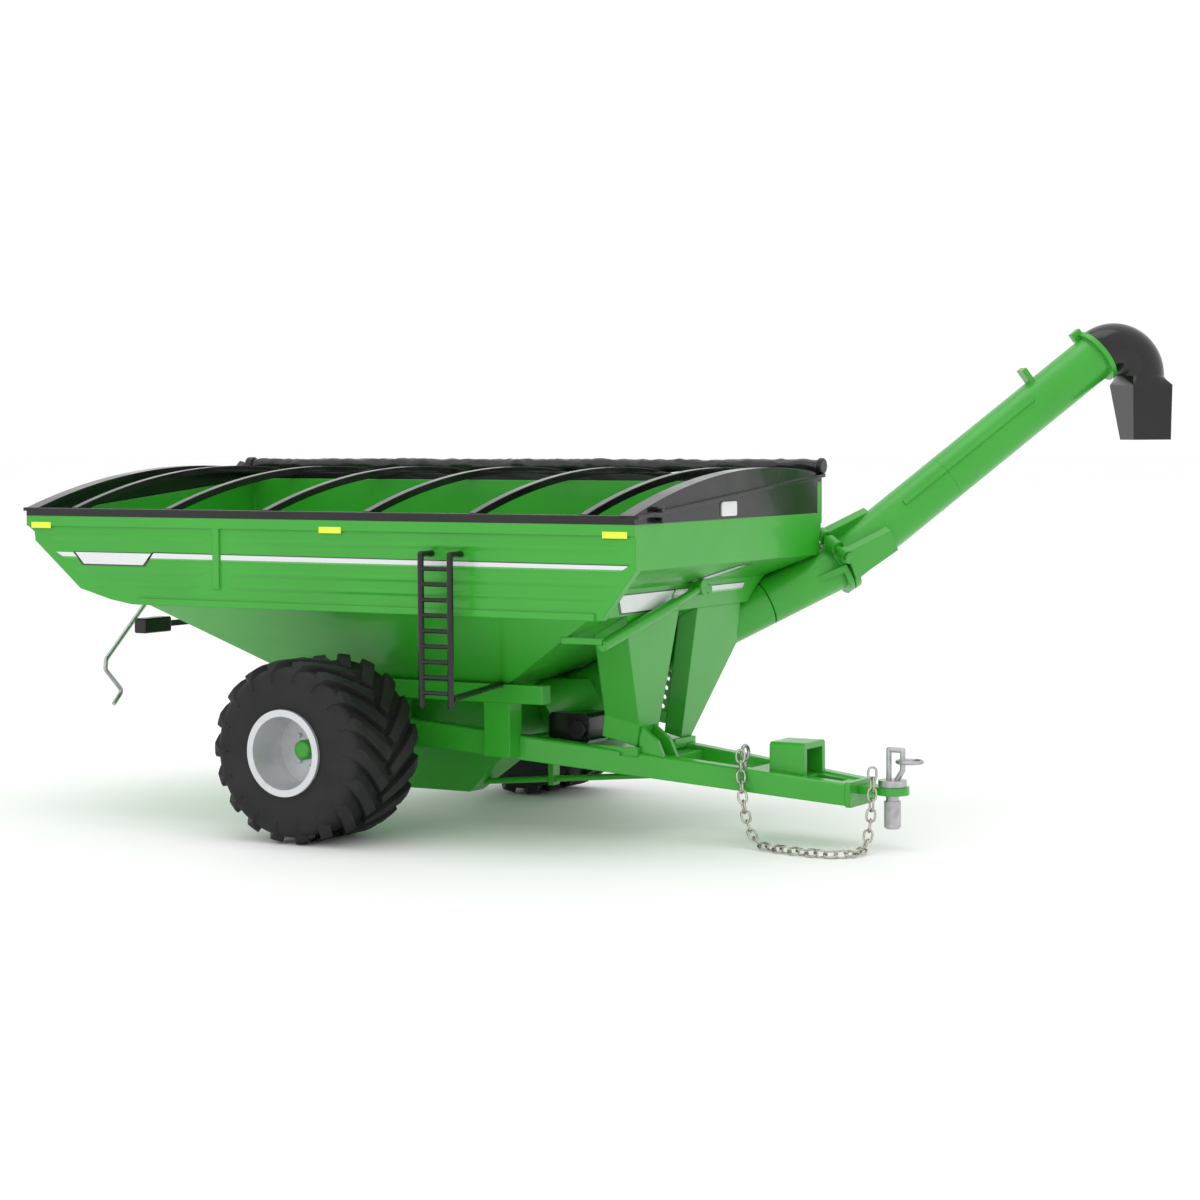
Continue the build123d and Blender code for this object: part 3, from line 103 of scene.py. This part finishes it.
class Weave:
    """Wires pattern nodes of one material, all on object coordinates."""

    def __init__(self, material):
        self.tree = material.node_tree
        self.shader = self.tree.nodes["Principled BSDF"]
        self.place = self.tree.nodes.new("ShaderNodeTexCoord").outputs["Object"]
        self.normal = None

    def node(self, kind, **values):
        """Adds a node; values are its settings or, where it has such a socket, its inputs."""
        made = self.tree.nodes.new(kind)
        for key, value in values.items():
            if hasattr(made, key):
                setattr(made, key, value)
            else:
                made.inputs[key.replace("_", " ")].default_value = value
        return made

    def link(self, source, target):
        self.tree.links.new(source, target)

    def noise(self, scale, detail=2.0, roughness=0.5, stretch=None):
        """Noise value with this many cells per metre, stretched where asked."""
        made = self.node("ShaderNodeTexNoise", Scale=scale, Detail=detail, Roughness=roughness)
        source = self.place
        if stretch:
            mapping = self.node("ShaderNodeMapping", Scale=stretch)
            self.link(self.place, mapping.inputs["Vector"])
            source = mapping.outputs["Vector"]
        self.link(source, made.inputs["Vector"])
        return made.outputs["Fac"]

    def spread(self, value, low, high, from_low=0.3, from_high=0.7):
        """The value moved from one range into another."""
        made = self.node("ShaderNodeMapRange")
        for socket, number in zip(made.inputs[1:5], (from_low, from_high, low, high)):
            socket.default_value = number
        self.link(value, made.inputs[0])
        return made.outputs[0]

    def blend(self, fac, first, second):
        """Colour between two colours."""
        made = self.node("ShaderNodeMix", data_type="RGBA")
        made.inputs[6].default_value = (*first, 1)
        made.inputs[7].default_value = (*second, 1)
        self.link(fac, made.inputs[0])
        return made.outputs[2]

    def bump(self, height, depth, strength=0.5):
        """Adds surface relief of this depth in metres on top of what is there."""
        made = self.node("ShaderNodeBump", Strength=strength, Distance=depth)
        self.link(height, made.inputs["Height"])
        if self.normal:
            self.link(self.normal, made.inputs["Normal"])
        self.normal = made.outputs["Normal"]

    def soften(self, radius):
        """Rounds the edges as the paint or the mould does."""
        made = self.node("ShaderNodeBevel", samples=6, Radius=radius)
        if self.normal:
            self.link(self.normal, made.inputs["Normal"])
        self.normal = made.outputs["Normal"]

    def done(self, colour=None, rough=None):
        if colour:
            self.link(colour, self.shader.inputs["Base Color"])
        if rough:
            self.link(rough, self.shader.inputs["Roughness"])
        if self.normal:
            self.link(self.normal, self.shader.inputs["Normal"])


def plated_steel(name, base, rough, cells):
    """Bright plated steel with faint polishing haze and darker specks."""
    material = finish_of(name, base, metal=1.0, rough=rough)
    weave = Weave(material)
    haze = weave.noise(cells, 4.0)
    weave.bump(weave.noise(cells * 3, 2.0), 0.00002, 0.4)
    dark = tuple(0.72 * part for part in base)
    weave.done(
        weave.blend(weave.spread(haze, 0.0, 1.0, 0.35, 0.65), dark, base),
        weave.spread(haze, rough * 0.7, rough * 1.5),
    )
    return material


chain_nickel = plated_steel("chain nickel", (0.56, 0.53, 0.47), 0.2, 900)

CHAIN_ROUTE = (
    (61.7, -7.2, 13.8),
    (63.0, -9.6, 0.65),
    (74.5, -13.9, 0.65),
    (83.2, -13.6, 0.65),
    (83.0, -4.6, 0.65),
    (82.9, -4.3, 12.0),
)


def mesh_piece(name, verts, faces, material, smooth=True):
    """A finished mesh object at the origin, from points in metres."""
    mesh = bpy.data.meshes.new(name)
    mesh.from_pydata([tuple(v) for v in verts], [], faces)
    mesh.materials.append(material)
    if smooth:
        mesh.shade_smooth()
    piece = bpy.data.objects.new(name, mesh)
    scene.collection.objects.link(piece)
    return piece


def closed_ring(centre_line, wire, sides=8):
    """Points and faces of a round wire bent along a closed line."""
    verts, faces = [], []
    count = len(centre_line)
    for index, here in enumerate(centre_line):
        along = (centre_line[(index + 1) % count] - centre_line[index - 1]).normalized()
        out = along.cross(Vector((0, 1, 0))).normalized()
        side = along.cross(out)
        for step in range(sides):
            angle = math.tau * step / sides
            verts.append(here + (out * math.cos(angle) + side * math.sin(angle)) * wire)
    for index in range(count):
        for step in range(sides):
            a = index * sides + step
            b = index * sides + (step + 1) % sides
            c = ((index + 1) % count) * sides + (step + 1) % sides
            d = ((index + 1) % count) * sides + step
            faces.append((a, b, c, d))
    return verts, faces


def link_outline(length, width, steps=5):
    """Centre line of an oval link in the XZ plane, long along Z."""
    bend = width / 2
    straight = length / 2 - bend
    line = []
    for end in (1, -1):
        for step in range(steps + 1):
            angle = math.pi * step / steps
            x = end * bend * math.cos(angle)
            z = end * (straight + bend * math.sin(angle))
            line.append(Vector((x, 0, z)))
    return line


LINK_SWAY = 0.25                        # each link turns this much either way, radians
LINK_SEED = 7


def links_on_route(name, link_mesh, route_object, pitch, material):
    """Geometry nodes: one link every pitch along the route, each turned a quarter on."""
    tree = bpy.data.node_groups.new(name, "GeometryNodeTree")
    face = tree.interface
    face.new_socket("Geometry", in_out="INPUT", socket_type="NodeSocketGeometry")
    face.new_socket("Geometry", in_out="OUTPUT", socket_type="NodeSocketGeometry")
    pitch_input = face.new_socket("Pitch", in_out="INPUT", socket_type="NodeSocketFloat")
    loose_input = face.new_socket("Looseness", in_out="INPUT", socket_type="NodeSocketFloat")
    source = tree.nodes.new("NodeGroupInput")
    output = tree.nodes.new("NodeGroupOutput")
    link = tree.nodes.new("GeometryNodeObjectInfo")
    link.inputs["Object"].default_value = link_mesh
    points = tree.nodes.new("GeometryNodeCurveToPoints")
    points.mode = "LENGTH"
    place = tree.nodes.new("GeometryNodeInstanceOnPoints")
    turn = tree.nodes.new("GeometryNodeRotateInstances")
    index = tree.nodes.new("GeometryNodeInputIndex")
    quarter = tree.nodes.new("ShaderNodeMath")
    quarter.operation = "MULTIPLY"
    quarter.inputs[1].default_value = math.pi / 2
    sway = tree.nodes.new("FunctionNodeRandomValue")
    sway.inputs["Seed"].default_value = LINK_SEED
    add = tree.nodes.new("ShaderNodeMath")
    angles = tree.nodes.new("ShaderNodeCombineXYZ")
    real = tree.nodes.new("GeometryNodeRealizeInstances")
    paint = tree.nodes.new("GeometryNodeSetMaterial")
    paint.inputs["Material"].default_value = material
    opposite = tree.nodes.new("ShaderNodeMath")
    opposite.operation = "MULTIPLY"
    opposite.inputs[1].default_value = -1.0
    wires = (
        (source.outputs["Geometry"], points.inputs["Curve"]),
        (source.outputs["Pitch"], points.inputs["Length"]),
        (points.outputs["Points"], place.inputs["Points"]),
        (points.outputs["Rotation"], place.inputs["Rotation"]),
        (link.outputs["Geometry"], place.inputs["Instance"]),
        (place.outputs["Instances"], turn.inputs["Instances"]),
        (index.outputs["Index"], quarter.inputs[0]),
        (source.outputs["Looseness"], opposite.inputs[0]),
        (opposite.outputs[0], sway.inputs[2]),
        (source.outputs["Looseness"], sway.inputs[3]),
        (quarter.outputs[0], add.inputs[0]),
        (sway.outputs[1], add.inputs[1]),
        (add.outputs[0], angles.inputs["Z"]),
        (angles.outputs[0], turn.inputs["Rotation"]),
        (turn.outputs["Instances"], real.inputs["Geometry"]),
        (real.outputs["Geometry"], paint.inputs["Geometry"]),
        (paint.outputs["Geometry"], output.inputs["Geometry"]),
    )
    for start, end in wires:
        tree.links.new(start, end)
    modifier = route_object.modifiers.new(name, "NODES")
    modifier.node_group = tree
    modifier[pitch_input.identifier] = pitch
    modifier[loose_input.identifier] = LINK_SWAY
    return route_object


route_curve = bpy.data.curves.new("chain_route", "CURVE")
route_curve.dimensions = "3D"
spline = route_curve.splines.new("NURBS")
spline.points.add(len(CHAIN_ROUTE) - 1)
for point, place in zip(spline.points, CHAIN_ROUTE):
    point.co = (*(value * MM for value in place), 1)
spline.order_u = 3
spline.use_endpoint_u = True
spline.resolution_u = 24
route = bpy.data.objects.new("chain_route", route_curve)
scene.collection.objects.link(route)
graph = bpy.context.evaluated_depsgraph_get()
line_mesh = bpy.data.meshes.new_from_object(route.evaluated_get(graph), depsgraph=graph)

LINK_LENGTH = 2.0 * MM
LINK_WIDTH = 1.3 * MM
LINK_WIRE = 0.19 * MM                   # radius of the wire
LINK_PITCH = 1.56 * MM                  # from one link's middle to the next
link_verts, link_faces = closed_ring(link_outline(LINK_LENGTH, LINK_WIDTH), LINK_WIRE)
link_mesh = mesh_piece("one_link", link_verts, link_faces, chain_nickel)
links_on_route("links on the route", link_mesh, route, LINK_PITCH, chain_nickel)
graph = bpy.context.evaluated_depsgraph_get()
links = bpy.data.meshes.new_from_object(route.evaluated_get(graph), depsgraph=graph)
links.shade_smooth()
safety_chain = bpy.data.objects.new("safety_chain_links", links)
scene.collection.objects.link(safety_chain)
bpy.data.objects.remove(route)
bpy.data.objects.remove(link_mesh)
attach(safety_chain, "cart")
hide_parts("safety_chain")

# --- floor, sky and lamps -----------------------------------------------------------------
# A white table under a large white tent: soft light from above and from the camera's side.
floor_white = finish_of("white table", (0.96, 0.96, 0.96), rough=0.6)
weave = Weave(floor_white)
weave.done(weave.blend(weave.noise(3.0), (0.955, 0.955, 0.955), (0.965, 0.965, 0.965)))
floor = mesh_piece(
    "table", [(-6, -6, 0), (6, -6, 0), (6, 6, 0), (-6, 6, 0)], [(0, 1, 2, 3)], floor_white, False
)
world = bpy.data.worlds.new("tent")
scene.world = world
world.use_nodes = True
world.node_tree.nodes["Background"].inputs["Color"].default_value = (1, 1, 1, 1)
world.node_tree.nodes["Background"].inputs["Strength"].default_value = 1.03


def soft_box(name, place, aim, size, power):
    """A square soft lamp at a place, aimed at a point."""
    lamp = bpy.data.lights.new(name, "AREA")
    lamp.shape = "RECTANGLE"
    lamp.size, lamp.size_y = size
    lamp.energy = power
    box = bpy.data.objects.new(name, lamp)
    scene.collection.objects.link(box)
    towards = Vector(aim) - Vector(place)
    turn = towards.to_track_quat("-Z", "Y").to_matrix().to_4x4()
    box.matrix_world = Matrix.Translation(place) @ turn


soft_box("roof light", (0.0, 0.0, 1.0), (0, 0, 0.03), (0.8, 0.5), 1.6)
soft_box("side light", (0.1, -0.9, 0.5), (0.0, 0.0, 0.03), (0.7, 0.3), 0.9)
scene.view_settings.view_transform = "Standard"
scene.view_settings.look = "None"

# --- green die-cast pieces ----------------------------------------------------------------
# The tank, chassis and auger are zinc castings with thick bright green enamel.
# The enamel rounds every edge and has slight orange peel; its green varies a little in soft
# clouds.
GREEN = (0.028, 0.345, 0.018)
GREEN_LIGHT = (0.034, 0.385, 0.022)


def enamel(name, low, high, edge):
    """Thick gloss enamel on a casting."""
    material = finish_of(name, low, rough=0.34, coat=0.28, coat_rough=0.06)
    tint(material, "Coat IOR", 1.45)
    weave = Weave(material)
    cloud = weave.noise(60, 3.0)
    weave.soften(edge)
    weave.bump(weave.noise(520, 2.0), 0.00001, 0.15)
    weave.bump(weave.noise(70, 2.0), 0.00005, 0.08)
    weave.done(
        weave.blend(weave.spread(cloud, 0.0, 1.0), low, high),
        weave.spread(weave.noise(240, 3.0), 0.30, 0.40),
    )
    return material


green_enamel = enamel("green enamel", GREEN, GREEN_LIGHT, 0.30 * MM)
SLOT_FINISH = {"green_paint": green_enamel}


def repaint(node, material):
    """Gives a CAD piece its real finish."""
    obj = frame["nodes"][node]
    obj.data.materials.clear()
    obj.data.materials.append(material)


# --- black moulded pieces -----------------------------------------------------------------
# Roof frame, ladder, lamp, gearbox and spout are glossy black ABS mouldings.
black_abs = finish_of("black moulded plastic", (0.007, 0.007, 0.007), rough=0.2, coat=0.2)
tint(black_abs, "Specular IOR Level", 0.35)
weave = Weave(black_abs)
weave.soften(0.22 * MM)
weave.bump(weave.noise(300, 2.0), 0.00004, 0.2)
weave.done(
    weave.blend(weave.noise(90, 3.0), (0.005, 0.005, 0.006), (0.011, 0.011, 0.011)),
    weave.spread(weave.noise(160, 3.0), 0.15, 0.3),
)
SLOT_FINISH["black_plastic"] = black_abs

# --- rims, tyres, steel, window -----------------------------------------------------------
# The rims are castings in silver enamel with an eggshell surface; the tyres are moulded rubber
# with dust in the tread. Drawpin, axle and crank are turned and bent steel. The sight window is
# a pale print on the cap.
silver_enamel = finish_of("silver enamel", (0.62, 0.63, 0.65), metal=0.55, rough=0.36, coat=0.2)
weave = Weave(silver_enamel)
weave.soften(0.2 * MM)
weave.bump(weave.noise(1500, 2.0), 0.00001, 0.3)
weave.done(
    weave.blend(weave.noise(900, 2.0), (0.58, 0.59, 0.61), (0.68, 0.69, 0.71)),
    weave.spread(weave.noise(200), 0.3, 0.42),
)
SLOT_FINISH["silver_rim"] = silver_enamel
tyre_rubber = finish_of("tyre rubber", (0.022, 0.022, 0.023), rough=0.62)
tint(tyre_rubber, "Specular IOR Level", 0.25)
weave = Weave(tyre_rubber)
weave.soften(0.25 * MM)
weave.bump(weave.noise(1600, 4.0), 0.00003, 0.4)
dust = weave.noise(120, 5.0, 0.6)
weave.done(
    weave.blend(
        weave.spread(dust, 0.0, 1.0, 0.4, 0.75), (0.013, 0.013, 0.014), (0.028, 0.028, 0.027)
    ),
    weave.spread(dust, 0.5, 0.72),
)
SLOT_FINISH["tyre_rubber"] = tyre_rubber
turned_steel = plated_steel("drawpin steel", (0.55, 0.55, 0.56), 0.34, 700)
SLOT_FINISH["steel"] = turned_steel
SLOT_FINISH["tarp"] = black_abs
window_white = finish_of("window print", (0.75, 0.76, 0.76), rough=0.3, coat=0.4)
weave = Weave(window_white)
weave.soften(0.15 * MM)
weave.done(weave.blend(weave.noise(300), (0.70, 0.71, 0.71), (0.80, 0.81, 0.81)))
SLOT_FINISH["window"] = window_white

for row in frame["record"]["subparts"]:
    if row["node"] != "safety_chain":
        repaint(row["node"], SLOT_FINISH[row["material_slot"]])


# --- rolled tarp --------------------------------------------------------------------------
# A black vinyl sheet rolled up tight along the left rail, moulded with its soft lumps and folds.
roll_low, roll_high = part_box("tarp_roll")
ROLL_STEPS = 260
ROLL_SIDES = 28
ROLL_RADIUS = 1.10
ROLL_LUMPS = 0.24                       # how far the folds lift or sink the surface, mm
LUMP_LENGTH = 2.6 * MM
roll_y = (roll_low.y + roll_high.y) / 2
roll_z = (roll_low.z + roll_high.z) / 2
roll_verts, roll_faces = [], []
for step in range(ROLL_STEPS + 1):
    x = roll_low.x + (roll_high.x - roll_low.x) * step / ROLL_STEPS
    sag = 0.10 * MM * math.sin(x / (6.6 * MM)) + 0.06 * MM * math.sin(x / (2.3 * MM) + 1)
    for side in range(ROLL_SIDES):
        angle = math.tau * side / ROLL_SIDES
        spot = Vector((x / LUMP_LENGTH, math.cos(angle) * 0.9, math.sin(angle) * 0.9))
        fold = lumps.noise(spot) + 0.5 * lumps.noise(spot * 2.3)
        radius = (ROLL_RADIUS + ROLL_LUMPS * fold) * MM
        roll_verts.append(
            (x, roll_y + radius * math.cos(angle), roll_z + sag * 0.5 + radius * math.sin(angle))
        )
for step in range(ROLL_STEPS):
    for side in range(ROLL_SIDES):
        nearby = (side + 1) % ROLL_SIDES
        start = step * ROLL_SIDES
        after = start + ROLL_SIDES
        roll_faces.append((start + side, start + nearby, after + nearby, after + side))
roll_faces.append(tuple(reversed(range(ROLL_SIDES))))
roll_faces.append(tuple(range(ROLL_STEPS * ROLL_SIDES, (ROLL_STEPS + 1) * ROLL_SIDES)))
vinyl = finish_of("rolled vinyl", (0.012, 0.012, 0.013), rough=0.33, coat=0.1)
weave = Weave(vinyl)
weave.bump(weave.noise(500, 4.0, 0.5, (0.25, 1, 1)), 0.00008, 0.5)
weave.done(
    weave.blend(weave.noise(150, 3.0), (0.008, 0.008, 0.009), (0.022, 0.022, 0.024)),
    weave.spread(weave.noise(260, 3.0), 0.24, 0.42),
)
tarp_roll = mesh_piece("rolled_tarp", roll_verts, roll_faces, vinyl)
bm = bmesh.new()
bm.from_mesh(tarp_roll.data)
bmesh.ops.recalc_face_normals(bm, faces=bm.faces)
bm.to_mesh(tarp_roll.data)
bm.free()
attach(tarp_roll, "cart")
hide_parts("tarp_roll")

# --- pressed side panels ------------------------------------------------------------------
# Long low ridges stiffen both side plates; they are part of the casting, under the enamel.


def joined(name, parts, material, smooth=False):
    """One mesh object from several (points, faces) pairs."""
    verts, faces = [], []
    for part_verts, part_faces in parts:
        start = len(verts)
        verts += part_verts
        faces += [tuple(start + corner for corner in face) for face in part_faces]
    piece = mesh_piece(name, verts, faces, material, smooth)
    bm = bmesh.new()
    bm.from_mesh(piece.data)
    bmesh.ops.recalc_face_normals(bm, faces=bm.faces)
    bm.to_mesh(piece.data)
    bm.free()
    return piece


RIDGE_TAPER = 3.0                       # length of each end's run-out, mm
RIDGE_SUNK = 0.03                       # the ridge's edges lie this far inside the plate


def ridge(x_from, x_to, middle, width, height, wall, side):
    """A low rounded ridge along X on a side plate, tapered out at both ends."""
    profile = 9                         # points across the ridge
    ends = (0.0, 0.25, 0.6, 0.9, 1.0)
    stops = [x_from + RIDGE_TAPER * share for share in ends]
    stops += [x_to - RIDGE_TAPER * share for share in reversed(ends)]
    swell = [math.sin(share * math.pi / 2) for share in ends]
    swell += list(reversed(swell))
    verts, faces = [], []
    for x, size in zip(stops, swell):
        for step in range(profile):
            share = step / (profile - 1) * 2 - 1
            rise = height * size * (math.cos(share * math.pi) * 0.5 + 0.5) - RIDGE_SUNK
            y = side * (wall + rise)
            verts.append(Vector((x, y, middle + share * width / 2 * max(size, 0.25))) * MM)
    for row in range(len(stops) - 1):
        for step in range(profile - 1):
            a = row * profile + step
            faces.append((a, a + 1, a + profile + 1, a + profile))
    return verts, faces


SIDE_WALL = 31.2                        # outer face of the side plates from the middle, mm
BAYS = ((-57.0, -23.2), (-20.4, 54.5))  # the seam strip parts the plate in two
RIDGES = (                              # rear limit, cut back in front, height, width, rise
    (-57.0, 0.0, 46.9, 1.8, 0.34),
    (-52.5, 0.0, 41.6, 1.6, 0.32),
    (-49.0, 1.5, 39.4, 1.4, 0.30),
)
for hand, side in (("right", -1), ("left", 1)):
    parts = []
    for x_from, x_to in BAYS:
        for rear_end, cut_back, middle, width, height in RIDGES:
            start = max(x_from, rear_end)
            parts.append(ridge(start, x_to - cut_back, middle, width, height, SIDE_WALL, side))
    ridges = joined(f"{hand}_side_ridges", parts, green_enamel, smooth=True)
    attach(ridges, "cart")

# --- printed markings ---------------------------------------------------------------------
# Thin printed films: a silver band that fades into the paint in dots, a plain name plate with
# a dark edge and nothing written on it, and yellow reflectors that glow faintly with painted
# light.


FILM = 0.04                             # thickness of every printed film, mm


def film(outline, normal):
    """A thin flat film with this outline, standing off along its normal."""
    out = Vector(normal).normalized() * FILM * MM
    lower = [Vector(point) * MM for point in outline]
    upper = [point + out for point in lower]
    count = len(outline)
    faces = [tuple(range(count)), tuple(reversed(range(count, 2 * count)))]
    for index in range(count):
        after = (index + 1) % count
        faces.append((index, after, count + after, count + index))
    return lower + upper, faces


def fading_silver(name, fade_low, fade_high):
    """Silver print that breaks up into dots towards its lower edge."""
    material = finish_of(name, (0.72, 0.74, 0.74), metal=0.2, rough=0.35, coat=0.5)
    weave = Weave(material)
    parts = weave.node("ShaderNodeSeparateXYZ")
    weave.link(weave.place, parts.inputs[0])
    height = weave.spread(parts.outputs["Z"], 0.0, 0.75, fade_low * MM, fade_high * MM)
    dots = weave.node("ShaderNodeTexVoronoi", Scale=4200.0, Randomness=0.0)
    weave.link(weave.place, dots.inputs["Vector"])
    print_on = weave.node("ShaderNodeMath", operation="GREATER_THAN")
    weave.link(height, print_on.inputs[0])
    weave.link(dots.outputs["Distance"], print_on.inputs[1])
    weave.done(weave.blend(print_on.outputs[0], GREEN_LIGHT, (0.74, 0.76, 0.76)))
    return material


silver_print = fading_silver("side band print", 43.30, 43.95)
front_print = fading_silver("front band print", 38.15, 38.75)
plate_print = finish_of("name plate print", (0.74, 0.76, 0.76), metal=0.15, rough=0.32, coat=0.5)
weave = Weave(plate_print)
weave.done(weave.blend(weave.noise(400), (0.70, 0.72, 0.72), (0.78, 0.80, 0.80)))
dark_print = finish_of("dark print", (0.02, 0.02, 0.022), rough=0.3, coat=0.5)
weave = Weave(dark_print)
weave.done(weave.blend(weave.noise(400), (0.016, 0.016, 0.018), (0.03, 0.03, 0.032)))
reflector_film_painted_glow = finish_of("yellow reflector film with painted glow", (0.72, 0.86, 0.02), rough=0.25, coat=0.8)
# The faint emission is a painted glow: the light the reflectors would only send back is shown as
# their own.
tint(reflector_film_painted_glow, "Emission Color", (0.72, 0.86, 0.02, 1))
tint(reflector_film_painted_glow, "Emission Strength", 0.12)
weave = Weave(reflector_film_painted_glow)
cells = weave.node("ShaderNodeTexVoronoi", Scale=5200.0, Randomness=0.1)
weave.link(weave.place, cells.inputs["Vector"])
weave.bump(cells.outputs["Distance"], 0.00002, 0.5)
weave.done(weave.blend(cells.outputs["Distance"], (0.78, 0.92, 0.02), (0.66, 0.78, 0.02)))

def name_plate(left, right, low, high, slant):
    """Outline of the plate: wide at the top, slanting in to a narrower bottom."""
    return [(left, high), (left + slant, low), (right - slant, low), (right, high)]


def rectangle(x, z, length, height):
    """Corners of an upright rectangle from its lower rear corner."""
    return [(x, z), (x + length, z), (x + length, z + height), (x, z + height)]


def on_side(pairs, lift=0.0):
    """Points of the side plate now being printed, from pairs of length and height."""
    return [(x, side * (SIDE_WALL + 0.02 + lift), z) for x, z in pairs]


REFLECTOR = (4.3, 1.0)                  # length and height, mm
REFLECTOR_FOOT = 48.45
for hand, side in (("right", -1), ("left", 1)):
    facing = (0, side, 0)
    band = [
        film(on_side([(-56.0, 44.45), (-52.3, 44.45), (-50.6, 43.0), (-53.4, 43.15)]), facing),
        film(on_side([(-35.2, 44.6), (-22.6, 44.55), (-22.6, 43.35), (-36.4, 43.4)]), facing),
        film(on_side([(-20.9, 44.55), (55.6, 44.35), (54.0, 43.3), (-20.9, 43.35)]), facing),
    ]
    edge = [
        film(on_side(name_plate(-52.2, -34.9, 42.35, 44.62, 1.9)), facing),
        film(on_side([(-35.2, 44.78), (-22.6, 44.70), (-22.6, 44.55), (-35.2, 44.6)]), facing),
        film(on_side([(-20.9, 44.70), (55.8, 44.50), (55.6, 44.35), (-20.9, 44.55)]), facing),
    ]
    plate = [film(on_side(name_plate(-51.7, -35.4, 42.57, 44.50, 1.8), 0.04), facing)]
    reflectors = [
        film(on_side(rectangle(x, REFLECTOR_FOOT, *REFLECTOR), 0.35), facing)
        for x in (-61.1, -0.92, 51.3)
    ]
    for name, parts, material in (
        ("band", band, silver_print),
        ("band_edge", edge, dark_print),
        ("plate", plate, plate_print),
        ("reflectors", reflectors, reflector_film_painted_glow),
    ):
        made = joined(f"{hand}_side_{name}", parts, material)
        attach(made, "cart")

FRONT_X = 48.82
SLOPE = 0.8 / 4.2                        # the lower front band leans forward by this much
FRONT_FOOT = 36                         # height of the band's lower edge, mm


def on_front(pairs, lift=0.0):
    """Points of the lower front band, from pairs of place across and height."""
    return [(FRONT_X + (z - FRONT_FOOT) * SLOPE + lift, y, z) for y, z in pairs]


facing = (1, 0, -SLOPE)
band = [film(on_front([(-5.6, 39.35), (17.6, 39.35), (17.0, 38.2), (-6.8, 38.2)]), facing)]
edge = [
    film(on_front([(-5.4, 39.5), (17.7, 39.5), (17.6, 39.35), (-5.6, 39.35)]), facing),
    film(on_front(name_plate(-24.2, -5.6, 36.35, 39.5, 1.9)), facing),
]
plate = [film(on_front(name_plate(-23.6, -6.2, 36.6, 39.3, 1.7), 0.04), facing)]
for name, parts, material in (
    ("band", band, front_print),
    ("band_edge", edge, dark_print),
    ("plate", plate, plate_print),
):
    made = joined(f"front_{name}", parts, material)
    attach(made, "cart")

# --- slanted bar on the front slope -------------------------------------------------------
# A short silver bar with a dark outline, printed across the slope under the front band.
tank = frame["nodes"]["tank_shell"]
into_tank = tank.matrix_world.inverted()


def on_slope(y, z):
    """The point of the tank's front face at this height and place, met from the front."""
    start = into_tank @ (Vector((100.0, y, z)) * MM)
    _, spot, _, _ = tank.ray_cast(start, into_tank.to_3x3() @ Vector((-1, 0, 0)))
    return tuple((tank.matrix_world @ spot) / MM)


slope_low = Vector(on_slope(0.0, 40.5))
slope_high = Vector(on_slope(0.0, 42.5))
slope_out = (slope_high - slope_low).cross(Vector((0, 1, 0)))
if slope_out.x < 0:
    slope_out.negate()
slope_out.normalize()
for name, corners, lift, material in (
    ("bar_edge", ((-3.4, 40.25), (1.4, 40.45), (8.9, 43.0), (4.4, 42.9)), 0.02, dark_print),
    ("bar", ((-1.9, 40.55), (0.9, 40.65), (7.5, 42.8), (4.9, 42.72)), 0.07, plate_print),
):
    outline = [Vector(on_slope(y, z)) + slope_out * lift for y, z in corners]
    made = joined(f"front_{name}", [film(outline, slope_out)], material)
    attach(made, "cart")
